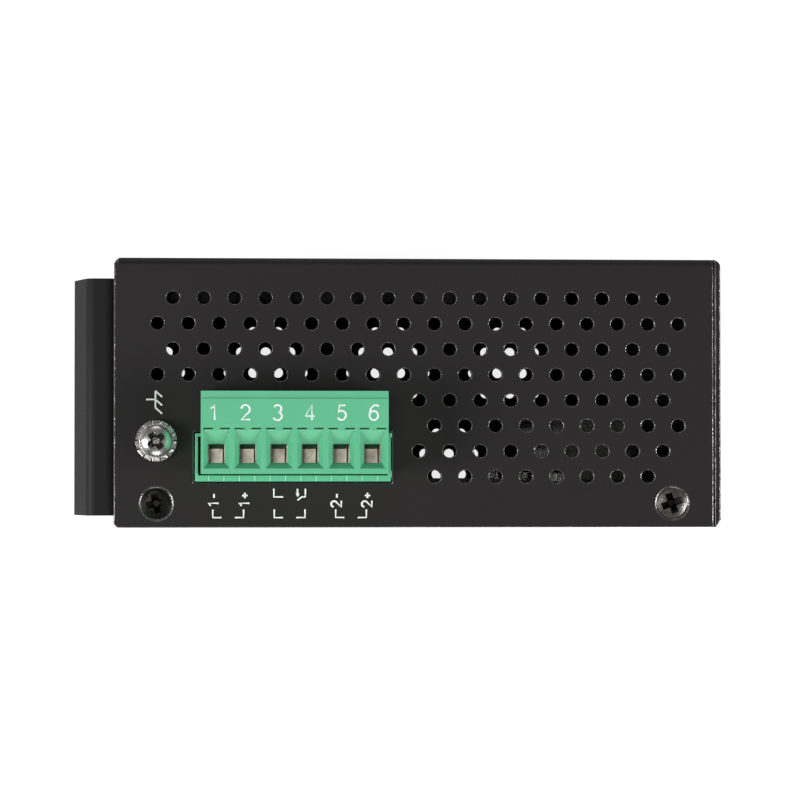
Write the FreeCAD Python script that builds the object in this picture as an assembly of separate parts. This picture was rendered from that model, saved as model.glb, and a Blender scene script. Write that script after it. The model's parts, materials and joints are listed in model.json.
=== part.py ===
"""DIN-rail ethernet switch: a folded steel case with five RJ45 sockets, vented ends and a plug-in terminal.

Frame, in millimetres: +Z is up, the rail runs along X, the sockets face -Y and the rail hook is at +Y.
The origin lies under the middle of the whole part, on the plane of the bottom end plate.
"""
import math
import os

import FreeCAD
import Part

from FreeCAD import Vector

# ---- case -----------------------------------------------------------------------------------------------
case_width = 44.7           # along the rail
case_depth = 101.0          # front wall to rear wall
case_height = 135.0         # end plate to end plate
sheet = 1.0                 # steel sheet of the case and of its cover
bend_inside = 0.2           # inside radius of the sheet's sharp bends
corner_seam = 0.2           # slit left between two walls that meet at a corner
plate_corner = 0.6          # small chamfer at the free corners of the folded walls
small_sides = 8             # small round parts and holes that repeat are drawn with this many sides
cover_gap = 0.15            # cover to the walls round it
cover_flange = 7.0          # depth of the cover's folded edges

# ---- vents in both end plates ----------------------------------------------------------------------------
vent_diameter = 2.1
vent_sides = 6
vent_pitch = 5.1            # hole to hole along a row
vent_row_pitch = 4.23
vent_full_rows = 4          # rows over the whole depth
vent_half_rows = 4          # rows over the front half only
vent_side_margin = 6.65     # closed side wall to the first row's centres
vent_end_margin = 7.15      # rear and front faces to the outermost holes
vent_web = 1.0              # least metal between a vent and a screw's countersink
lower_vent_margin = 15.0    # the lower end plate stays closed this far from the front face

# ---- cover and its screws --------------------------------------------------------------------------------
cover_screw_inset = 4.0     # from the cover's outer face
cover_screw_from_rear = 7.0
cover_screw_from_front = 8.2
small_thread = 3.0          # cover, bracket and board screws
small_screw_length = 5.0
countersink_diameter = 5.9
flat_head_diameter = 5.3
pan_head_diameter = 5.5
pan_head_height = 2.0
recess_width = 1.0          # each arm of a cross recess
recess_depth = 1.0
recess_share = 0.62         # span of a cross recess in its head
collar_height = 1.2         # drawn collar that gives a tapped hole its length
collar_wall = 0.8
thread_gap = 0.03           # screw to its hole, all round

# ---- rail bracket ----------------------------------------------------------------------------------------
bracket_width = 41.8
bracket_sheet = 1.5
bracket_bend = 1.0
hook_reach = 8.3            # tip of the flared lip behind the case
lip_reach = 5.65            # bend from which the lip flares out
lip_bend = 0.3              # inside that bend
hook_top = 100.3            # top of the upper hook
hook_depth = 8.8            # top of the upper hook to the outer edge of its lip
rail_height = 35.0          # standard top-hat rail, edge to edge
rail_top = 95.0             # upper edge of a rail held by the spring
lower_slot = 2.4            # clear width behind the plate in the lower hook
lower_lip_height = 2.2
rail_gap = 0.1              # seated rail to the metal round it
bracket_screw_length = 4.0
bracket_screw_spread = 28.0
bracket_screw_from_hook = 12.0
bracket_screw_rows = 20.0
spring_sheet = 0.5
spring_width = 2.8
spring_gap = 0.15           # spring to the metal that traps it
spring_end = 2.5            # flat end that is caught in the plate's slot
spring_end_bend = 1.5
spring_bow_bend = 4.0
spring_span = 34.0
spring_flat = 14.0          # straight middle that presses on the rail

# ---- earth screw -----------------------------------------------------------------------------------------
earth_thread = 4.0
earth_length = 8.0
earth_x = -8.0
earth_from_rear = 7.0
earth_hole = 4.3
earth_head_diameter = 5.3
earth_head_height = 2.4
earth_screw_turn = 35.0
earth_sides = 16
washer_diameter = 6.9
washer_body_diameter = 5.6
washer_sheet = 0.5
washer_teeth = 10
washer_tooth_width = 1.6
washer_twist = 16.0
nut_diameter = 8.0
nut_height = 3.0
nut_bevel = 0.4

# ---- circuit board ---------------------------------------------------------------------------------------
board_sheet = 1.6
standoff_height = 5.05      # cover to board
standoff_diameter = 5.4
standoff_foot_diameter = 4.2
board_front_gap = 1.0       # board edges to the walls
board_rear_gap = 2.6
board_end_gap = 5.0         # board's upper and lower edges to the outsides of the end plates
board_hole_inset = 4.5
board_hole_front_inset = 25.0
board_hole_diameter = 3.4

# ---- terminal --------------------------------------------------------------------------------------------
poles = 6
pole_pitch = 5.08
terminal_from_rear = 29.6   # rear face to the middle of the terminal
header_depth = 12.0
header_height = 7.95
header_floor = 1.0
header_roof = 0.55
header_end_wall = 0.5
header_back = 1.5
header_proud = 0.5          # header above the end plate
header_gap = 0.2            # header to its cut-out
plug_gap = 0.25             # plug to header
plug_end_gap = 0.45         # at the ends of the row
pin_size = 1.0
pin_height = 4.2            # pin's middle above the board
pin_hole = 1.6
pin_drop = 1.6              # underside of the header to the middle of the bent pins
pin_length = 8.0            # inside the header
pin_tail = 2.6              # past the far side of the board
plug_height = 13.5          # along X
plug_above_header = 10.0
plug_seat_gap = 0.3         # plug's shoulder above the header's rim
skirt_depth = 8.4           # part of the plug inside the header
top_band = 1.25             # lowered band at the screw side of the plug's face
top_band_step = 0.3
label_band = 4.3
label_band_step = 0.12
funnel_width = 4.44
funnel_top = 6.0            # from the plug's screw side
funnel_height = 6.7
funnel_depth = 1.7
entry_width = 2.8
entry_height = 3.05
entry_top = 8.63            # from the plug's screw side
entry_wall = 0.8
nub_width = 1.0
nub_height = 0.45

# ---- clamps in the plug ----------------------------------------------------------------------------------
clamp_thread = 2.5
clamp_head_diameter = 3.5
clamp_head_height = 1.6
clamp_head_recess = 1.5
well_sides = 16             # well that the round head turns in
clamp_slot_width = 0.6
clamp_slot_depth = 0.8
clamp_travel = 2.35
clamp_width = 3.5
clamp_depth = 3.5
clamp_wall = 0.5
clamp_strap = 0.7
clamp_nut = 1.2             # thick, tapped side of the clamp
clamp_corner = 0.4
clamp_gap = 0.1             # between the clamp and the parts beside it
bar_sheet = 0.6             # contact strip
bar_width = 2.3
bar_setback = 0.9           # front of the chamber to the end of the bar
leaf_gap = 0.08             # contact leaf to the pin it grips
leaf_length = 9.6

# ---- RJ45 sockets ----------------------------------------------------------------------------------------
socket_count = 5
socket_pitch = 17.0
socket_width = 16.0
socket_height = 13.4
socket_depth = 21.0
socket_first_z = 22.0       # middle of the lowest socket
socket_gap = 0.25           # socket to the back of the front wall
shield_sheet = 0.3
shield_gap = 0.1            # shield to insert
cavity_width = 11.9
cavity_height = 6.9
cavity_depth = 13.5
cavity_floor = 3.3          # above the board
latch_width = 6.2
latch_height = 1.9
window_margin = 0.9         # front wall's window inside the socket's outline
contact_count = 8
contact_pitch = 1.02
contact_wire = 0.4
contact_setback = 3.4       # shield's face to the wires' front bend
contact_length = 6.6
contact_run = 5.6
contact_rise = 2.2

# ---- indicator lamps -------------------------------------------------------------------------------------
lamp_count = 3
lamp_pitch = 4.2
lamp_height = 2.5           # lowest lamp above the board
lamp_diameter = 3.0
lamp_sides = 16
lamp_gap = 0.15
lamp_holder_width = 4.6
lamp_holder_depth = 8.5
lamp_holder_wall = 1.5
lamp_clearance = 7.7        # top socket to the lamps' block
lamp_nose = 0.9             # height of the lamp's bevelled nose

# ---- parts on the board ----------------------------------------------------------------------------------
chip_size = 20.0
chip_height = 1.6
chip_from_rear = 26.0
chip_below_middle = 5.5     # from the middle of the board's height
sink_size = 24.0
sink_base = 1.8
sink_height = 9.0
sink_fins = 7
sink_fin = 1.1
capacitor_diameter = 10.0
capacitor_height = 12.5
capacitor_pitch = 12.5
capacitor_count = 3
capacitor_from_rear = 8.8
capacitor_from_top = 18.0   # board's upper edge to the middle of the first can
capacitor_sides = 12
inductor_size = 12.0
inductor_height = 7.0
inductor_pitch = 15.0
inductor_count = 2
inductor_from_rear = 24.0
inductor_z = 20.0
relay_width = 10.0
relay_length = 20.0
relay_height = 10.5
relay_from_rear = 42.0
relay_under_header = 7.5
transformer_width = 16.0
transformer_length = 17.0
transformer_height = 11.5
transformer_from_rear = 25.0
transformer_under_header = 15.0

# ---- positions that follow from the sizes above ----------------------------------------------------------
half_width = case_width / 2
front = -(case_depth + hook_reach) / 2
rear = front + case_depth
middle_y = (front + rear) / 2
bend_outside = bend_inside + sheet
board_back = -half_width + sheet + standoff_height
board_face = board_back + board_sheet
board_front = front + sheet + board_front_gap
board_rear = rear - sheet - board_rear_gap
board_low = board_end_gap
board_high = case_height - board_end_gap
terminal_y = rear - terminal_from_rear
terminal_top = case_height + header_proud
header_low = terminal_top - header_depth
plug_low = board_face + header_floor + plug_gap
plug_high = plug_low + plug_height
plug_width = poles * pole_pitch
plug_seat = terminal_top + plug_seat_gap
plug_top = terminal_top + plug_above_header
pole_positions = [terminal_y + (poles / 2 - 0.5 - index) * pole_pitch for index in range(poles)]
cover_screw_x = -half_width + cover_screw_inset
cover_screw_y = (rear - cover_screw_from_rear, front + cover_screw_from_front)
earth_y = rear - earth_from_rear
socket_front = front + sheet + socket_gap
socket_top = board_face + socket_height
socket_positions = [socket_first_z + index * socket_pitch for index in range(socket_count)]
lamp_z = socket_positions[-1] + socket_width / 2 + lamp_clearance + lamp_holder_width / 2
chip_z = (board_low + board_high) / 2 - chip_below_middle
relay_z = header_low - relay_under_header - relay_length / 2
transformer_z = header_low - transformer_under_header - transformer_length / 2
shelf_under = hook_top - bracket_sheet
plate_back = rear + bracket_sheet

PLANES = {
    "xy": (FreeCAD.Rotation(), Vector(0, 0, 1)),
    "xz": (FreeCAD.Rotation(Vector(1, 0, 0), 90), Vector(0, 1, 0)),
    "yz": (FreeCAD.Rotation(Vector(1, 1, 1), 120), Vector(1, 0, 0)),
}
ACROSS = {"x": "yz", "y": "xz", "z": "xy"}          # plane across each axis
AXES = {"x": Vector(1, 0, 0), "y": Vector(0, 1, 0), "z": Vector(0, 0, 1)}


# ---- tools for solids ------------------------------------------------------------------------------------
def extrude(face, plane, low, high):
    """Solid over a face drawn in a plane, from low to high along the axis across that plane."""
    rotation, normal = PLANES[plane]
    face.Placement = FreeCAD.Placement(normal * low, rotation)
    return face.extrude(normal * (high - low))


def prism(points, plane, low, high):
    """Solid over the polygon through points."""
    corners = [Vector(a, b, 0) for a, b in points]
    face = Part.Face(Part.makePolygon(corners + corners[:1]))
    return extrude(face, plane, low, high)


def block(x, y, z):
    """Box between two values on each axis."""
    size = (x[1] - x[0], y[1] - y[0], z[1] - z[0])
    return Part.makeBox(*size, Vector(x[0], y[0], z[0]))


def ring_turns(sides):
    """Angles of the corners of a regular outline whose flats face the axes."""
    return [math.pi * (2 * side + 1) / sides for side in range(sides)]


def bar(axis, centre, diameter, low, high, sides=small_sides):
    """Small round bar along an axis through centre, drawn with flat sides, from low to high on that axis."""
    plane = ACROSS[axis]
    across, along = (getattr(Vector(*centre), direction) for direction in plane)
    corner = diameter / 2 / math.cos(math.pi / sides)
    outline = [(across + corner * math.cos(turn), along + corner * math.sin(turn))
               for turn in ring_turns(sides)]
    return prism(outline, plane, low, high)


def bevelled_box(x, y, z, bevel, axis):
    """Box whose edges along one axis are bevelled."""
    body = block(x, y, z)
    edges = [edge for edge in body.Edges if abs(edge.tangentAt(0).dot(AXES[axis])) > 0.9]
    return body.makeChamfer(bevel, edges)


def path_edges(points, radii):
    """Edges along points, with an arc of its own radius in place of each corner, or a sharp one for 0."""
    edges = []
    start = points[0]
    for before, corner, after, radius in zip(points, points[1:], points[2:], radii):
        if radius == 0:
            edges.append(Part.makeLine(start, corner))
            start = corner
            continue
        arriving = (corner - before).normalize()
        leaving = (after - corner).normalize()
        turn = arriving.getAngle(leaving)
        reach = radius * math.tan(turn / 2)
        inward = (leaving - arriving).normalize()
        first = corner - arriving * reach
        last = corner + leaving * reach
        summit = corner + inward * (radius / math.cos(turn / 2) - radius)
        edges.append(Part.makeLine(start, first))
        edges.append(Part.Arc(first, summit, last).toShape())
        start = last
    edges.append(Part.makeLine(start, points[-1]))
    return edges


def side_line(points, offset):
    """The path through points moved sideways, to its left where offset is positive."""
    normals = []
    for start, end in zip(points, points[1:]):
        along = (end - start).normalize()
        normals.append(Vector(-along.y, along.x, 0))
    moved = [points[0] + normals[0] * offset]
    for corner, before, after in zip(points[1:], normals, normals[1:]):
        moved.append(corner + (before + after) * (offset / (1 + before.dot(after))))
    moved.append(points[-1] + normals[-1] * offset)
    return moved


def folded(points, thickness, inside_radii, plane, low, high):
    """Sheet of even thickness whose middle line follows points, bent round an inside radius at each corner.

    A radius of None leaves a corner sharp on both sides, as on a fine wire.
    """
    line = [Vector(a, b, 0) for a, b in points]
    left_radii = []
    right_radii = []
    for before, corner, after, inside in zip(line, line[1:], line[2:], inside_radii):
        outside = 0 if inside is None else inside + thickness
        turns_left = (corner - before).cross(after - corner).z > 0
        left_radii.append((inside or 0) if turns_left else outside)
        right_radii.append(outside if turns_left else (inside or 0))
    left = side_line(line, thickness / 2)
    right = side_line(line, -thickness / 2)
    edges = path_edges(left, left_radii)
    edges.append(Part.makeLine(left[-1], right[-1]))
    edges += path_edges(right[::-1], right_radii[::-1])
    edges.append(Part.makeLine(right[0], left[0]))
    face = Part.Face(Part.Wire(edges))
    return extrude(face, plane, low, high)


def joined(*solids):
    """One solid from touching or overlapping ones."""
    return solids[0].multiFuse(list(solids[1:])).removeSplitter()


def turned(outline):
    """Solid of revolution about Z over a closed (radius, height) outline."""
    corners = [Vector(radius, 0, height) for radius, height in outline]
    face = Part.Face(Part.makePolygon(corners + corners[:1]))
    return face.revolve(Vector(0, 0, 0), Vector(0, 0, 1), 360)


def faceted(outline, sides=small_sides):
    """The same with flat sides round it, for small parts and holes that repeat."""
    faces = []
    turns = ring_turns(sides)
    growth = 1 / math.cos(math.pi / sides)
    for (radius, z), (next_radius, next_z) in zip(outline, outline[1:] + outline[:1]):
        for turn, next_turn in zip(turns, turns[1:] + turns[:1]):
            ring = [(radius, turn, z), (next_radius, turn, next_z)]
            if next_radius:
                ring.append((next_radius, next_turn, next_z))
            if radius:
                ring.append((radius, next_turn, z))
            if len(ring) < 3:
                continue
            corners = [Vector(growth * out * math.cos(angle), growth * out * math.sin(angle), height)
                       for out, angle, height in ring]
            faces.append(Part.Face(Part.makePolygon(corners + corners[:1])))
    solid = Part.makeSolid(Part.makeShell(faces)).removeSplitter()
    if solid.Volume < 0:
        solid.reverse()
    return solid


def aimed(solid, position, direction):
    """A screw drawn with its shank along -Z, moved so that the shank points along direction."""
    placed = solid.copy()
    rotation = FreeCAD.Rotation(Vector(0, 0, -1), Vector(*direction))
    placed.Placement = FreeCAD.Placement(Vector(*position), rotation)
    return placed


# ---- screws ----------------------------------------------------------------------------------------------
def cross_recess(head_diameter, turn):
    """Cutter for a cross recess in a head whose top is at z = 0."""
    half = recess_width / 2
    reach = recess_share * head_diameter / 2
    arms = []
    for angle in (turn, turn + 90):
        arm = block((-reach, reach), (-half, half), (-recess_depth, recess_depth))
        arms.append(arm.rotate(Vector(0, 0, 0), Vector(0, 0, 1), angle))
    return arms[0].fuse(arms[1])


def flat_screw(length):
    """Small countersunk screw, its flat top at z = 0 and its shank along -Z."""
    radius = small_thread / 2
    head = flat_head_diameter / 2
    cone = head - radius
    return faceted([(0, 0), (head, 0), (radius, -cone), (radius, -length), (0, -length)])


def pan_outline(thread, length, head_diameter, head_height):
    """Half section of a pan-head screw, the underside of its head at z = 0 and its shank along -Z."""
    radius = thread / 2
    head = head_diameter / 2
    crown = 0.3 * head_height
    return [(0, head_height), (0.7 * head, head_height), (head, head_height - crown), (head, 0), (radius, 0),
            (radius, -length), (0, -length)]


def countersink(position, direction, through):
    """Cutter for a countersunk hole from a surface, to a depth, with clearance round a small screw."""
    top = countersink_diameter / 2
    hole = small_thread / 2 + 0.1
    outline = [(0, 0.5), (top, 0.5), (top, 0), (hole, hole - top), (hole, -through), (0, -through)]
    return aimed(faceted(outline), position, direction)


def head_drop():
    """How far a flat head lies below the surface when it seats in its countersink."""
    return (countersink_diameter - flat_head_diameter) / 2 - 0.05


# ---- case ------------------------------------------------------------------------------------------------
def vent_positions(front_margin, screw_spots):
    """Middles of the vents in one end plate, as (x, y), keeping clear of the front and of the screws."""
    first_x = half_width - vent_side_margin
    last_y = rear - vent_end_margin
    columns = round((case_depth - 2 * vent_end_margin) / vent_pitch) + 1
    spots = []
    for row in range(vent_full_rows + vent_half_rows):
        x = first_x - row * vent_row_pitch
        between = row % 2 == 0
        row_start = last_y - vent_pitch / 2 if between else last_y
        for column in range(columns - 1 if between else columns):
            y = row_start - column * vent_pitch
            if row >= vent_full_rows and y > middle_y + vent_pitch / 4:
                continue
            if y - front < front_margin:
                continue
            clear = vent_web + (vent_diameter + countersink_diameter) / 2
            if all(math.hypot(x - a, y - b) > clear for a, b in screw_spots):
                spots.append((x, y))
    return spots


def vent_cutter(spots, z):
    """Punches for all vents of the end plate that spans z."""
    punch = bar("z", (0, 0, 0), vent_diameter, *z, vent_sides)
    copies = []
    for x, y in spots:
        copy = punch.copy()
        copy.translate(Vector(x, y, 0))
        copies.append(copy)
    return Part.makeCompound(copies)


def end_plate(z):
    """Flat part of an end plate, its free corners cut off."""
    near = front + sheet + corner_seam
    outer = half_width - bend_outside
    inner = plate_corner - half_width
    outline = [(inner, near), (outer, near), (outer, rear), (inner, rear),
               (-half_width, rear - plate_corner), (-half_width, near + plate_corner)]
    return prism(outline, "xy", z[0], z[1])


def front_plate():
    """Flat part of the front wall, which covers the edges of both end plates."""
    outer = half_width - bend_outside
    outline = [(-half_width + plate_corner, 0), (outer, 0), (outer, case_height),
               (-half_width + plate_corner, case_height), (-half_width, case_height - 2 * plate_corner),
               (-half_width, 2 * plate_corner)]
    return prism(outline, "xz", front, front + sheet)


def collar(position, direction):
    """Drawn collar behind a tapped hole, from the sheet's far face."""
    inner = small_thread / 2 + thread_gap
    outer = inner + collar_wall
    outline = [(inner, 0.05), (outer, 0.05), (outer, -collar_height), (inner, -collar_height)]
    return aimed(faceted(outline), position, direction)


def tapped_hole(position, direction):
    """Cutter for a tapped hole whose mouth is bevelled to clear a flat head."""
    radius = small_thread / 2 + thread_gap
    mouth = radius + 0.45
    depth = sheet + collar_height + 1
    outline = [(0, 0.1), (mouth, 0.1), (mouth, 0), (radius, radius - mouth), (radius, -depth), (0, -depth)]
    return aimed(faceted(outline), position, direction)


def bracket_screw_spots():
    """Where the bracket is screwed to the rear wall, as (x, z)."""
    upper = hook_top - bracket_screw_from_hook
    return [(x, z) for x in (-bracket_screw_spread / 2, bracket_screw_spread / 2)
            for z in (upper, upper - bracket_screw_rows)]


def case_shell():
    """Side wall with two end plates, front wall and rear wall folded up from it."""
    mid = sheet / 2
    high = case_height - mid
    side = half_width - mid
    ends = folded([(-half_width, high), (side, high), (side, mid), (-half_width, mid)],
                  sheet, [bend_inside] * 2, "xz", front + bend_outside, rear - bend_outside)
    walls = folded([(-half_width, front + mid), (half_width - mid, front + mid),
                    (half_width - mid, rear - mid), (-half_width, rear - mid)],
                   sheet, [bend_inside] * 2, "xy", bend_outside, case_height - bend_outside)
    plates = [end_plate((0, sheet)), end_plate((case_height - sheet, case_height)), front_plate()]
    shell = joined(ends, walls, *plates)

    cutters = []
    for x, z in bracket_screw_spots():
        shell = shell.fuse(collar((x, rear - sheet, z), (0, -1, 0)))
        cutters.append(tapped_hole((x, rear, z), (0, -1, 0)))
    for y in cover_screw_y:
        cutters.append(countersink((cover_screw_x, y, case_height), (0, 0, -1), sheet + 0.1))
        cutters.append(countersink((cover_screw_x, y, 0), (0, 0, 1), sheet + 0.1))
    for z in socket_positions:
        reach = socket_width / 2 - window_margin
        cutters.append(bevelled_box((board_face + window_margin, socket_top - window_margin),
                                   (front - 1, front + sheet + 1), (z - reach, z + reach), 0.5, "y"))
    for x in lamp_positions():
        hole = lamp_diameter + 2 * lamp_gap
        cutters.append(bar("y", (x, 0, lamp_z), hole, front - 1, front + sheet + 1, lamp_sides))
    cutters.append(bar("z", (earth_x, earth_y, 0), earth_hole, case_height - sheet - 1, case_height + 1))
    reach = header_width() / 2 + header_gap
    cutters.append(bevelled_box((board_face - header_gap, board_face + header_height + header_gap),
                               (terminal_y - reach, terminal_y + reach),
                               (case_height - sheet - 1, case_height + 1), 0.4, "z"))
    screws = [(cover_screw_x, y) for y in cover_screw_y]
    cutters.append(vent_cutter(vent_positions(0, screws), (case_height - 2 * sheet, case_height + sheet)))
    cutters.append(vent_cutter(vent_positions(lower_vent_margin, screws), (-sheet, 2 * sheet)))
    return shell.cut(cutters)


def side_cover():
    """Flat cover that closes the open side, with a folded edge under each end plate."""
    low = sheet + cover_gap
    high = case_height - low
    mid = sheet / 2
    edge = -half_width + cover_flange
    cover = folded([(edge, high - mid), (-half_width + mid, high - mid), (-half_width + mid, low + mid),
                    (edge, low + mid)], sheet, [bend_inside] * 2, "xz", front + low, rear - low)
    cutters = []
    for y in cover_screw_y:
        for z, far, direction in ((high, high - sheet, (0, 0, -1)), (low, low + sheet, (0, 0, 1))):
            cover = cover.fuse(collar((cover_screw_x, y, far), direction))
            cutters.append(tapped_hole((cover_screw_x, y, z), direction))
    for y, z in board_hole_spots():
        cutters.append(bar("x", (0, y, z), standoff_foot_diameter, -half_width - 1, -half_width + sheet + 1))
    return cover.cut(cutters)


def cover_screws():
    """Two countersunk screws at each end."""
    screw = flat_screw(small_screw_length)
    screws = []
    for y in cover_screw_y:
        screws.append(aimed(screw, (cover_screw_x, y, case_height - head_drop()), (0, 0, -1)))
        screws.append(aimed(screw, (cover_screw_x, y, head_drop()), (0, 0, 1)))
    return Part.makeCompound(screws)


# ---- rail bracket ----------------------------------------------------------------------------------------
def din_bracket():
    """Plate folded into a deep hook with a flared lip above and a shallow hook below."""
    mid = bracket_sheet / 2
    plate = rear + mid
    low_lip = plate_back + lower_slot + mid
    shelf = hook_top - mid
    low_shelf = rail_top - rail_height - rail_gap - mid
    flare = math.atan((hook_reach - lip_reach) / hook_depth)
    inward = mid * math.cos(flare)
    drop = mid * math.sin(flare)
    bend = rear + lip_reach - inward + (mid - drop) * math.tan(flare)
    path = [(low_lip, low_shelf + mid + lower_lip_height), (low_lip, low_shelf), (plate, low_shelf),
            (plate, shelf), (bend, shelf), (rear + hook_reach - inward, hook_top - hook_depth - drop)]
    bends = [bracket_bend, bracket_bend, bracket_bend, lip_bend]
    half = bracket_width / 2
    bracket = folded(path, bracket_sheet, bends, "yz", -half, half)

    cutters = []
    for x, z in bracket_screw_spots():
        cutters.append(countersink((x, plate_back, z), (0, -1, 0), bracket_sheet + 0.1))
    for side in (-1, 1):
        inner = spring_span / 2 - spring_end - spring_gap
        slot = sorted((side * inner, side * (spring_span / 2 + spring_gap)))
        cutters.append(block(slot, (rear - 1, plate_back + 0.5), spring_slot_z()))
    return bracket.cut(cutters)


def spring_seat():
    """Middle height of the spring's flat ends, just under the bend of the hook."""
    return shelf_under - bracket_bend - spring_gap - spring_sheet / 2


def spring_slot_z():
    """Height range of the slots in the plate that catch the spring's ends."""
    reach = spring_sheet / 2 + spring_gap
    return (spring_seat() - reach, spring_seat() + reach)


def din_spring():
    """Bowed leaf in the upper hook that presses on the rail; its ends are caught in slots in the plate."""
    seat = spring_seat()
    bow = rail_top + rail_gap + spring_sheet / 2
    end = spring_span / 2
    path = [(-end, seat), (-end + spring_end, seat), (-spring_flat / 2, bow), (spring_flat / 2, bow),
            (end - spring_end, seat), (end, seat)]
    near = plate_back + spring_gap
    bends = [spring_end_bend, spring_bow_bend, spring_bow_bend, spring_end_bend]
    leaf = folded(path, spring_sheet, bends, "xz", near, near + spring_width)
    half = spring_sheet / 2
    pads = []
    for side in (-1, 1):
        span = sorted((side * end, side * (end - spring_end + spring_gap)))
        pads.append(block(span, (rear + spring_gap, near + spring_width), (seat - half, seat + half)))
    return joined(leaf, *pads)


def bracket_screws():
    """Countersunk screws that hold the bracket to the rear wall."""
    screw = flat_screw(bracket_screw_length)
    seat = plate_back - head_drop()
    return Part.makeCompound([aimed(screw, (x, seat, z), (0, -1, 0)) for x, z in bracket_screw_spots()])


# ---- earth screw -----------------------------------------------------------------------------------------
def lock_washer():
    """Ring with twisted teeth round it."""
    hole = earth_hole / 2
    body = washer_body_diameter / 2
    ring = faceted([(hole, 0), (body, 0), (body, washer_sheet), (hole, washer_sheet)], 2 * washer_teeth)
    half = washer_tooth_width / 2
    mid = washer_sheet / 2
    tooth = block((0.9 * body, washer_diameter / 2 + 1), (-half, half), (-mid, mid))
    tooth.rotate(Vector(0, 0, 0), Vector(1, 0, 0), washer_twist)
    tooth.translate(Vector(0, 0, mid))
    tooth = tooth.common(bar("z", (0, 0, 0), washer_diameter, -1, 2, 2 * washer_teeth))
    teeth = []
    for index in range(washer_teeth):
        copy = tooth.copy()
        copy.rotate(Vector(0, 0, 0), Vector(0, 0, 1), 360 * index / washer_teeth)
        teeth.append(copy)
    washer = joined(ring, *teeth)
    washer.translate(Vector(earth_x, earth_y, case_height + washer_height() / 2 - washer_sheet / 2))
    return washer


def washer_height():
    """Height of the washer over the tips of its twisted teeth."""
    twist = math.radians(washer_twist)
    return washer_tooth_width * math.sin(twist) + washer_sheet * math.cos(twist)


def earth_screw():
    """Pan-head screw for the earth wire."""
    outline = pan_outline(earth_thread, earth_length, earth_head_diameter, earth_head_height)
    screw = faceted(outline, earth_sides)
    recess = cross_recess(earth_head_diameter, earth_screw_turn)
    recess.translate(Vector(0, 0, earth_head_height))
    return aimed(screw.cut(recess), (earth_x, earth_y, case_height + washer_height()), (0, 0, -1))


def earth_nut():
    """Round nut pressed to the underside of the end plate."""
    inner = earth_thread / 2 + thread_gap
    top = case_height - sheet
    outer = nut_diameter / 2
    nut = faceted([(inner, 0), (outer, 0), (outer, nut_bevel - nut_height), (outer - nut_bevel, -nut_height),
                   (inner, -nut_height)], earth_sides)
    nut.translate(Vector(earth_x, earth_y, top))
    return nut


# ---- circuit board ---------------------------------------------------------------------------------------
def board_hole_spots():
    """Where the board is screwed to its standoffs, as (y, z)."""
    spread = ((board_low + board_high) / 2, board_low + board_hole_inset, board_high - board_hole_inset)
    return [(y, z) for y in (board_front + board_hole_front_inset, board_rear - board_hole_inset)
            for z in spread]


def main_board():
    """Circuit board parallel to the cover."""
    board = block((board_back, board_face), (board_front, board_rear), (board_low, board_high))
    cutters = [bar("x", (0, y, z), board_hole_diameter, board_back - 1, board_face + 1)
               for y, z in board_hole_spots()]
    cutters += [bar("x", (0, y, header_low - pin_drop), pin_hole, board_back - 1, board_face + 1)
                for y in pole_positions]
    return board.cut(cutters)


def board_standoffs():
    """Round spacers pressed into the cover."""
    body = standoff_diameter / 2
    foot = standoff_foot_diameter / 2
    inner = small_thread / 2 + thread_gap
    seat = sheet
    top = sheet + standoff_height
    outline = [(inner, 0), (foot, 0), (foot, seat), (body, seat), (body, top), (inner, top)]
    spacer = faceted(outline)
    return Part.makeCompound([aimed(spacer, (-half_width, y, z), (-1, 0, 0)) for y, z in board_hole_spots()])


def board_screws():
    """Pan-head screws that hold the board to its standoffs."""
    screw = faceted(pan_outline(small_thread, small_screw_length, pan_head_diameter, pan_head_height))
    return Part.makeCompound([aimed(screw, (board_face, y, z), (-1, 0, 0)) for y, z in board_hole_spots()])


# ---- header on the board ---------------------------------------------------------------------------------
def header_width():
    """Outer width of the header along the poles."""
    return plug_width + 2 * (plug_end_gap + header_end_wall)


def terminal_header():
    """Open socket at the board's edge that the plug goes into."""
    half = header_width() / 2
    top = board_face + header_height
    body = block((board_face, top), (terminal_y - half, terminal_y + half), (header_low, terminal_top))
    inner = half - header_end_wall
    pocket = block((board_face + header_floor, top - header_roof), (terminal_y - inner, terminal_y + inner),
                   (header_low + header_back, terminal_top + 1))
    relief = 1.0
    cutters = [pocket]
    pin = pin_size / 2
    for y in pole_positions:
        middle = board_face + pin_height
        cutters.append(block((middle - pin, middle + pin), (y - pin, y + pin),
                             (header_low - 1, header_low + header_back + 1)))
        rib = relief / 2
        cutters.append(block((top - header_roof - 1, top + 1), (y - rib, y + rib),
                             (terminal_top - relief, terminal_top + 1)))
    return body.cut(cutters)


def header_pins():
    """Square pins that pass through the header's back and turn into the board."""
    middle = board_face + pin_height
    bend = header_low - pin_drop
    path = [(middle, header_low + header_back + pin_length), (middle, bend), (board_back - pin_tail, bend)]
    half = pin_size / 2
    pins = [folded(path, pin_size, [None], "xz", y - half, y + half) for y in pole_positions]
    return Part.makeCompound(pins)


# ---- plug ------------------------------------------------------------------------------------------------
def screw_z():
    """Height of the clamp screws' axes."""
    return plug_top - funnel_depth - entry_wall - clamp_gap - clamp_depth / 2


def clamp_low():
    """Lower face of an open clamp's strap; a fully open clamp clears the wire entry."""
    return plug_high - entry_top - entry_height - clamp_gap - clamp_strap


def bar_low():
    """Underside of the contact bar, which a closed clamp nearly reaches."""
    return clamp_low() + clamp_strap + clamp_travel + clamp_gap


def clamp_high():
    """Upper face of an open clamp."""
    return bar_low() + bar_sheet + clamp_gap + clamp_nut + 0.2


def chamber_z():
    """Height range of the chamber that a clamp slides in."""
    reach = clamp_depth / 2 + clamp_gap
    return (screw_z() - reach, screw_z() + reach)


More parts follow.
